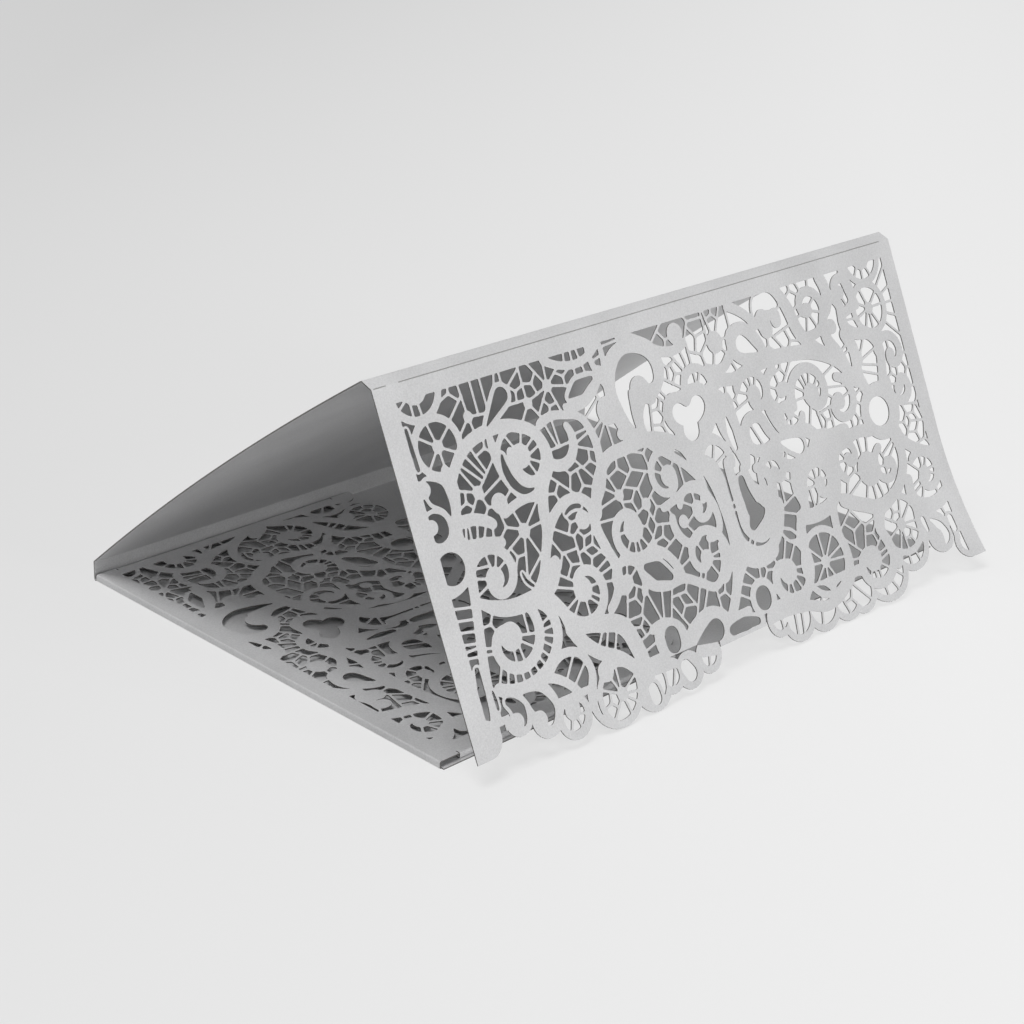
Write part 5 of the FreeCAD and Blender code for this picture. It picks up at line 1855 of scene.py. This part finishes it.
    def clear_plain(self, blank: bmesh.types.BMesh, main: list[bmesh.types.BMFace],
                    pocket: list[bmesh.types.BMFace]) -> None:
        """Make the plain sheet on each side of the base's left edge one face, up to the lace.

        Args:
            blank: The flat sheet.
            main: Its faces from the base to the flap.
            pocket: Its faces on the pocket.
        """
        size = self.blank
        last = size.crease_line + self.plain_margin
        first = size.pocket_p(-size.width / 2 + self.plain_margin)
        front, rear = size.pocket_sides
        self.part(blank, main, [((0, last), (0, 1))])
        self.part(blank, pocket, [((first, 0), (1, 0))])
        places = [(f, f.calc_center_median()) for f in blank.faces]
        plain = [f for f, at in places if at.x > size.pocket_line and at.y < last]
        bmesh.ops.dissolve_faces(blank, faces=plain)
        places = [(f, f.calc_center_median()) for f in blank.faces]
        strip = [f for f, at in places if first < at.x < size.pocket_line and front < at.y < rear]
        bmesh.ops.dissolve_faces(blank, faces=strip)

    @staticmethod
    def part(blank: bmesh.types.BMesh, faces: list[bmesh.types.BMFace],
             lines: Iterable[tuple[Point, Point]]) -> None:
        """Part some faces along straight lines.

        Args:
            blank: The flat sheet.
            faces: Faces to part; their neighbours only gain corners.
            lines: For each line a place on it and the direction across it.
        """
        corners = dict.fromkeys(v for f in faces for v in f.verts)
        sides = dict.fromkeys(e for f in faces for e in f.edges)
        geom = [*corners, *sides, *faces]
        for place, across in lines:
            geom = bmesh.ops.bisect_plane(
                blank, geom=geom, plane_co=(*place, 0), plane_no=(*across, 0))["geom"]

    def thicken(self, blank: bmesh.types.BMesh) -> None:
        """Give the flat sheet its thickness, with the cut edges and scores in darker finishes of their own
        that hold painted shade.

        Args:
            blank: The flat sheet.
        """
        bmesh.ops.solidify(blank, geom=blank.faces[:], thickness=self.blank.thickness)
        bmesh.ops.recalc_face_normals(blank, faces=blank.faces[:])
        for face in blank.faces:
            upright = abs(face.normal.z) < 0.5
            # Upright faces are the cut walls, whose dark finish is partly scorch and partly painted shade.
            face.material_index = Surface.CUT if upright else Surface.FACE
        self.press_scores(blank)

    def fold(self, blank: bmesh.types.BMesh) -> None:
        """Fold the flat sheet into place.

        Args:
            blank: The flat sheet with its thickness, whose inside is at a height of zero.
        """
        flat = np.array([v.co for v in blank.verts], float)
        flat[:, 2] += self.blank.thickness / 2
        for vert, place in zip(blank.verts, self.blank.fold(flat) * MM):
            vert.co = place


# --- The studio ---------------------------------------------------------------------------------------

@dataclass(frozen=True)
class TableFinish:
    """White table whose own glow, where it is seen, keeps the card's shadows on it faint."""

    colour: float = 0.86
    roughness: float = 0.9
    glow: float = 0.84
    glow_drift: tuple[float, float, float] = (0.335, -0.43, 0.0)
    dimmest: float = 0.68
    brightest: float = 0.90
    shade_share: float = 0.25

    def build(self) -> bpy.types.Material:
        """Make the material from its nodes.

        Returns:
            The finished material.
        """
        material = bpy.data.materials.new("white_table")
        material.use_nodes = True
        nodes, board = material.node_tree.nodes, NodeBoard(material.node_tree)
        shader = nodes["Principled BSDF"]
        board.feed(shader.inputs["Base Color"], (self.colour, self.colour, self.colour, 1.0))
        board.feed(shader.inputs["Roughness"], self.roughness)
        place = board.add("TexCoord").outputs["Object"]
        drift = board.add("VectorMath", {0: place, 1: self.glow_drift})
        drift.operation = "DOT_PRODUCT"
        level = board.work_out(Sum.ADD, drift.outputs["Value"], self.glow)
        kept = board.add("Clamp", {"Value": level, "Min": self.dimmest, "Max": self.brightest})
        glow = board.add("Emission", {"Strength": kept.outputs["Result"]})
        share = board.work_out(Sum.MULTIPLY, board.shown(), 1 - self.shade_share)
        mix = board.add("MixShader", {"Fac": share, 1: shader.outputs["BSDF"], 2: glow.outputs["Emission"]})
        board.feed(nodes["Material Output"].inputs["Surface"], mix.outputs["Shader"])
        return material


@dataclass(frozen=True)
class SoftLight:
    """A soft square light that faces the card: its place and side in metres, its power in watts."""

    AIM: ClassVar[tuple[float, float, float]] = (0.0, 0.0, 0.03)

    name: str
    place: tuple[float, float, float]
    side: float
    power: float

    def build(self) -> None:
        """Hang the light."""
        light = bpy.data.lights.new(self.name, "AREA")
        light.size = self.side
        light.energy = self.power
        lamp = bpy.data.objects.new(self.name, light)
        lamp.location = self.place
        facing = Vector(self.AIM) - Vector(self.place)
        lamp.rotation_euler = facing.to_track_quat("-Z", "Y").to_euler()
        bpy.context.scene.collection.objects.link(lamp)


@dataclass
class Studio:
    """White table, soft lights and the camera. Lengths are in metres, but the lens and film are in mm."""

    lights: tuple[SoftLight, ...] = (
        SoftLight("key", (0.2, -1.6, 0.5), side=0.6, power=10.2),
        SoftLight("fill", (-0.6, 0.0, 1.8), side=0.8, power=19.0),
    )
    eye: tuple[float, float, float] = (-0.37106, -0.35814, 0.23438)
    ahead: tuple[float, float, float] = (0.65688, 0.64377, -0.39254)
    tilt: float = 1.939
    lens: float = 77.13
    film: float = 36.0
    nearest: float = 0.01
    floor_size: float = 6.0
    ambient: float = 0.21
    far_wall: float = 0.78

    def build(self) -> None:
        """Set up the table, the world, the lights and the camera."""
        self.add_floor()
        self.add_world()
        for light in self.lights:
            light.build()
        self.add_camera()

    def add_floor(self) -> None:
        """Lay the white table."""
        table = bmesh.new()
        bmesh.ops.create_grid(table, x_segments=1, y_segments=1, size=self.floor_size / 2)
        mesh = bpy.data.meshes.new("table")
        table.to_mesh(mesh)
        table.free()
        floor = bpy.data.objects.new("table", mesh)
        bpy.context.scene.collection.objects.link(floor)
        mesh.materials.append(TableFinish().build())

    def add_world(self) -> None:
        """Light the scene evenly from all round, with a wall as pale as the table beyond it."""
        world = bpy.context.scene.world or bpy.data.worlds.new("studio")
        bpy.context.scene.world = world
        world.use_nodes = True
        board = NodeBoard(world.node_tree)
        sky = world.node_tree.nodes["Background"]
        board.feed(sky.inputs["Color"], (1.0, 1.0, 1.0, 1.0))
        level = board.work_out(Sum.MULTIPLY_ADD, board.shown(), self.far_wall - self.ambient, self.ambient)
        board.feed(sky.inputs["Strength"], level)

    def add_camera(self) -> None:
        """Add the camera and make it the scene's."""
        ahead = Vector(self.ahead).normalized()
        right = ahead.cross(Vector((0, 0, 1))).normalized()
        turn = Matrix.Rotation(math.radians(-self.tilt), 3, ahead)
        right = turn @ right
        up = right.cross(ahead)
        camera = bpy.data.cameras.new("camera")
        camera.lens = self.lens
        camera.sensor_width = self.film
        camera.clip_start = self.nearest
        seat = bpy.data.objects.new("camera", camera)
        facing = Matrix((right, up, -ahead)).transposed().to_4x4()
        seat.matrix_world = Matrix.Translation(Vector(self.eye)) @ facing
        bpy.context.scene.collection.objects.link(seat)
        bpy.context.scene.camera = seat


def main() -> None:
    """Build the card over its CAD part, dress it and light it."""
    logging.basicConfig(level=logging.INFO)
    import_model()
    low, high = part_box(NODE)
    width = (high.x - low.x) / MM
    card = FoldedCard(CardBlank(width), Lace(width)).build()
    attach(card, "root")
    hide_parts(NODE)
    LOG.info("%s: %d faces", card.name, len(card.data.polygons))
    studio = Studio()
    studio.build()
    LOG.info("studio: table, world, %d lights and camera", len(studio.lights))
    bpy.context.scene.view_settings.view_transform = "Standard"
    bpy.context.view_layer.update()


if __name__ == "__main__":
    main()
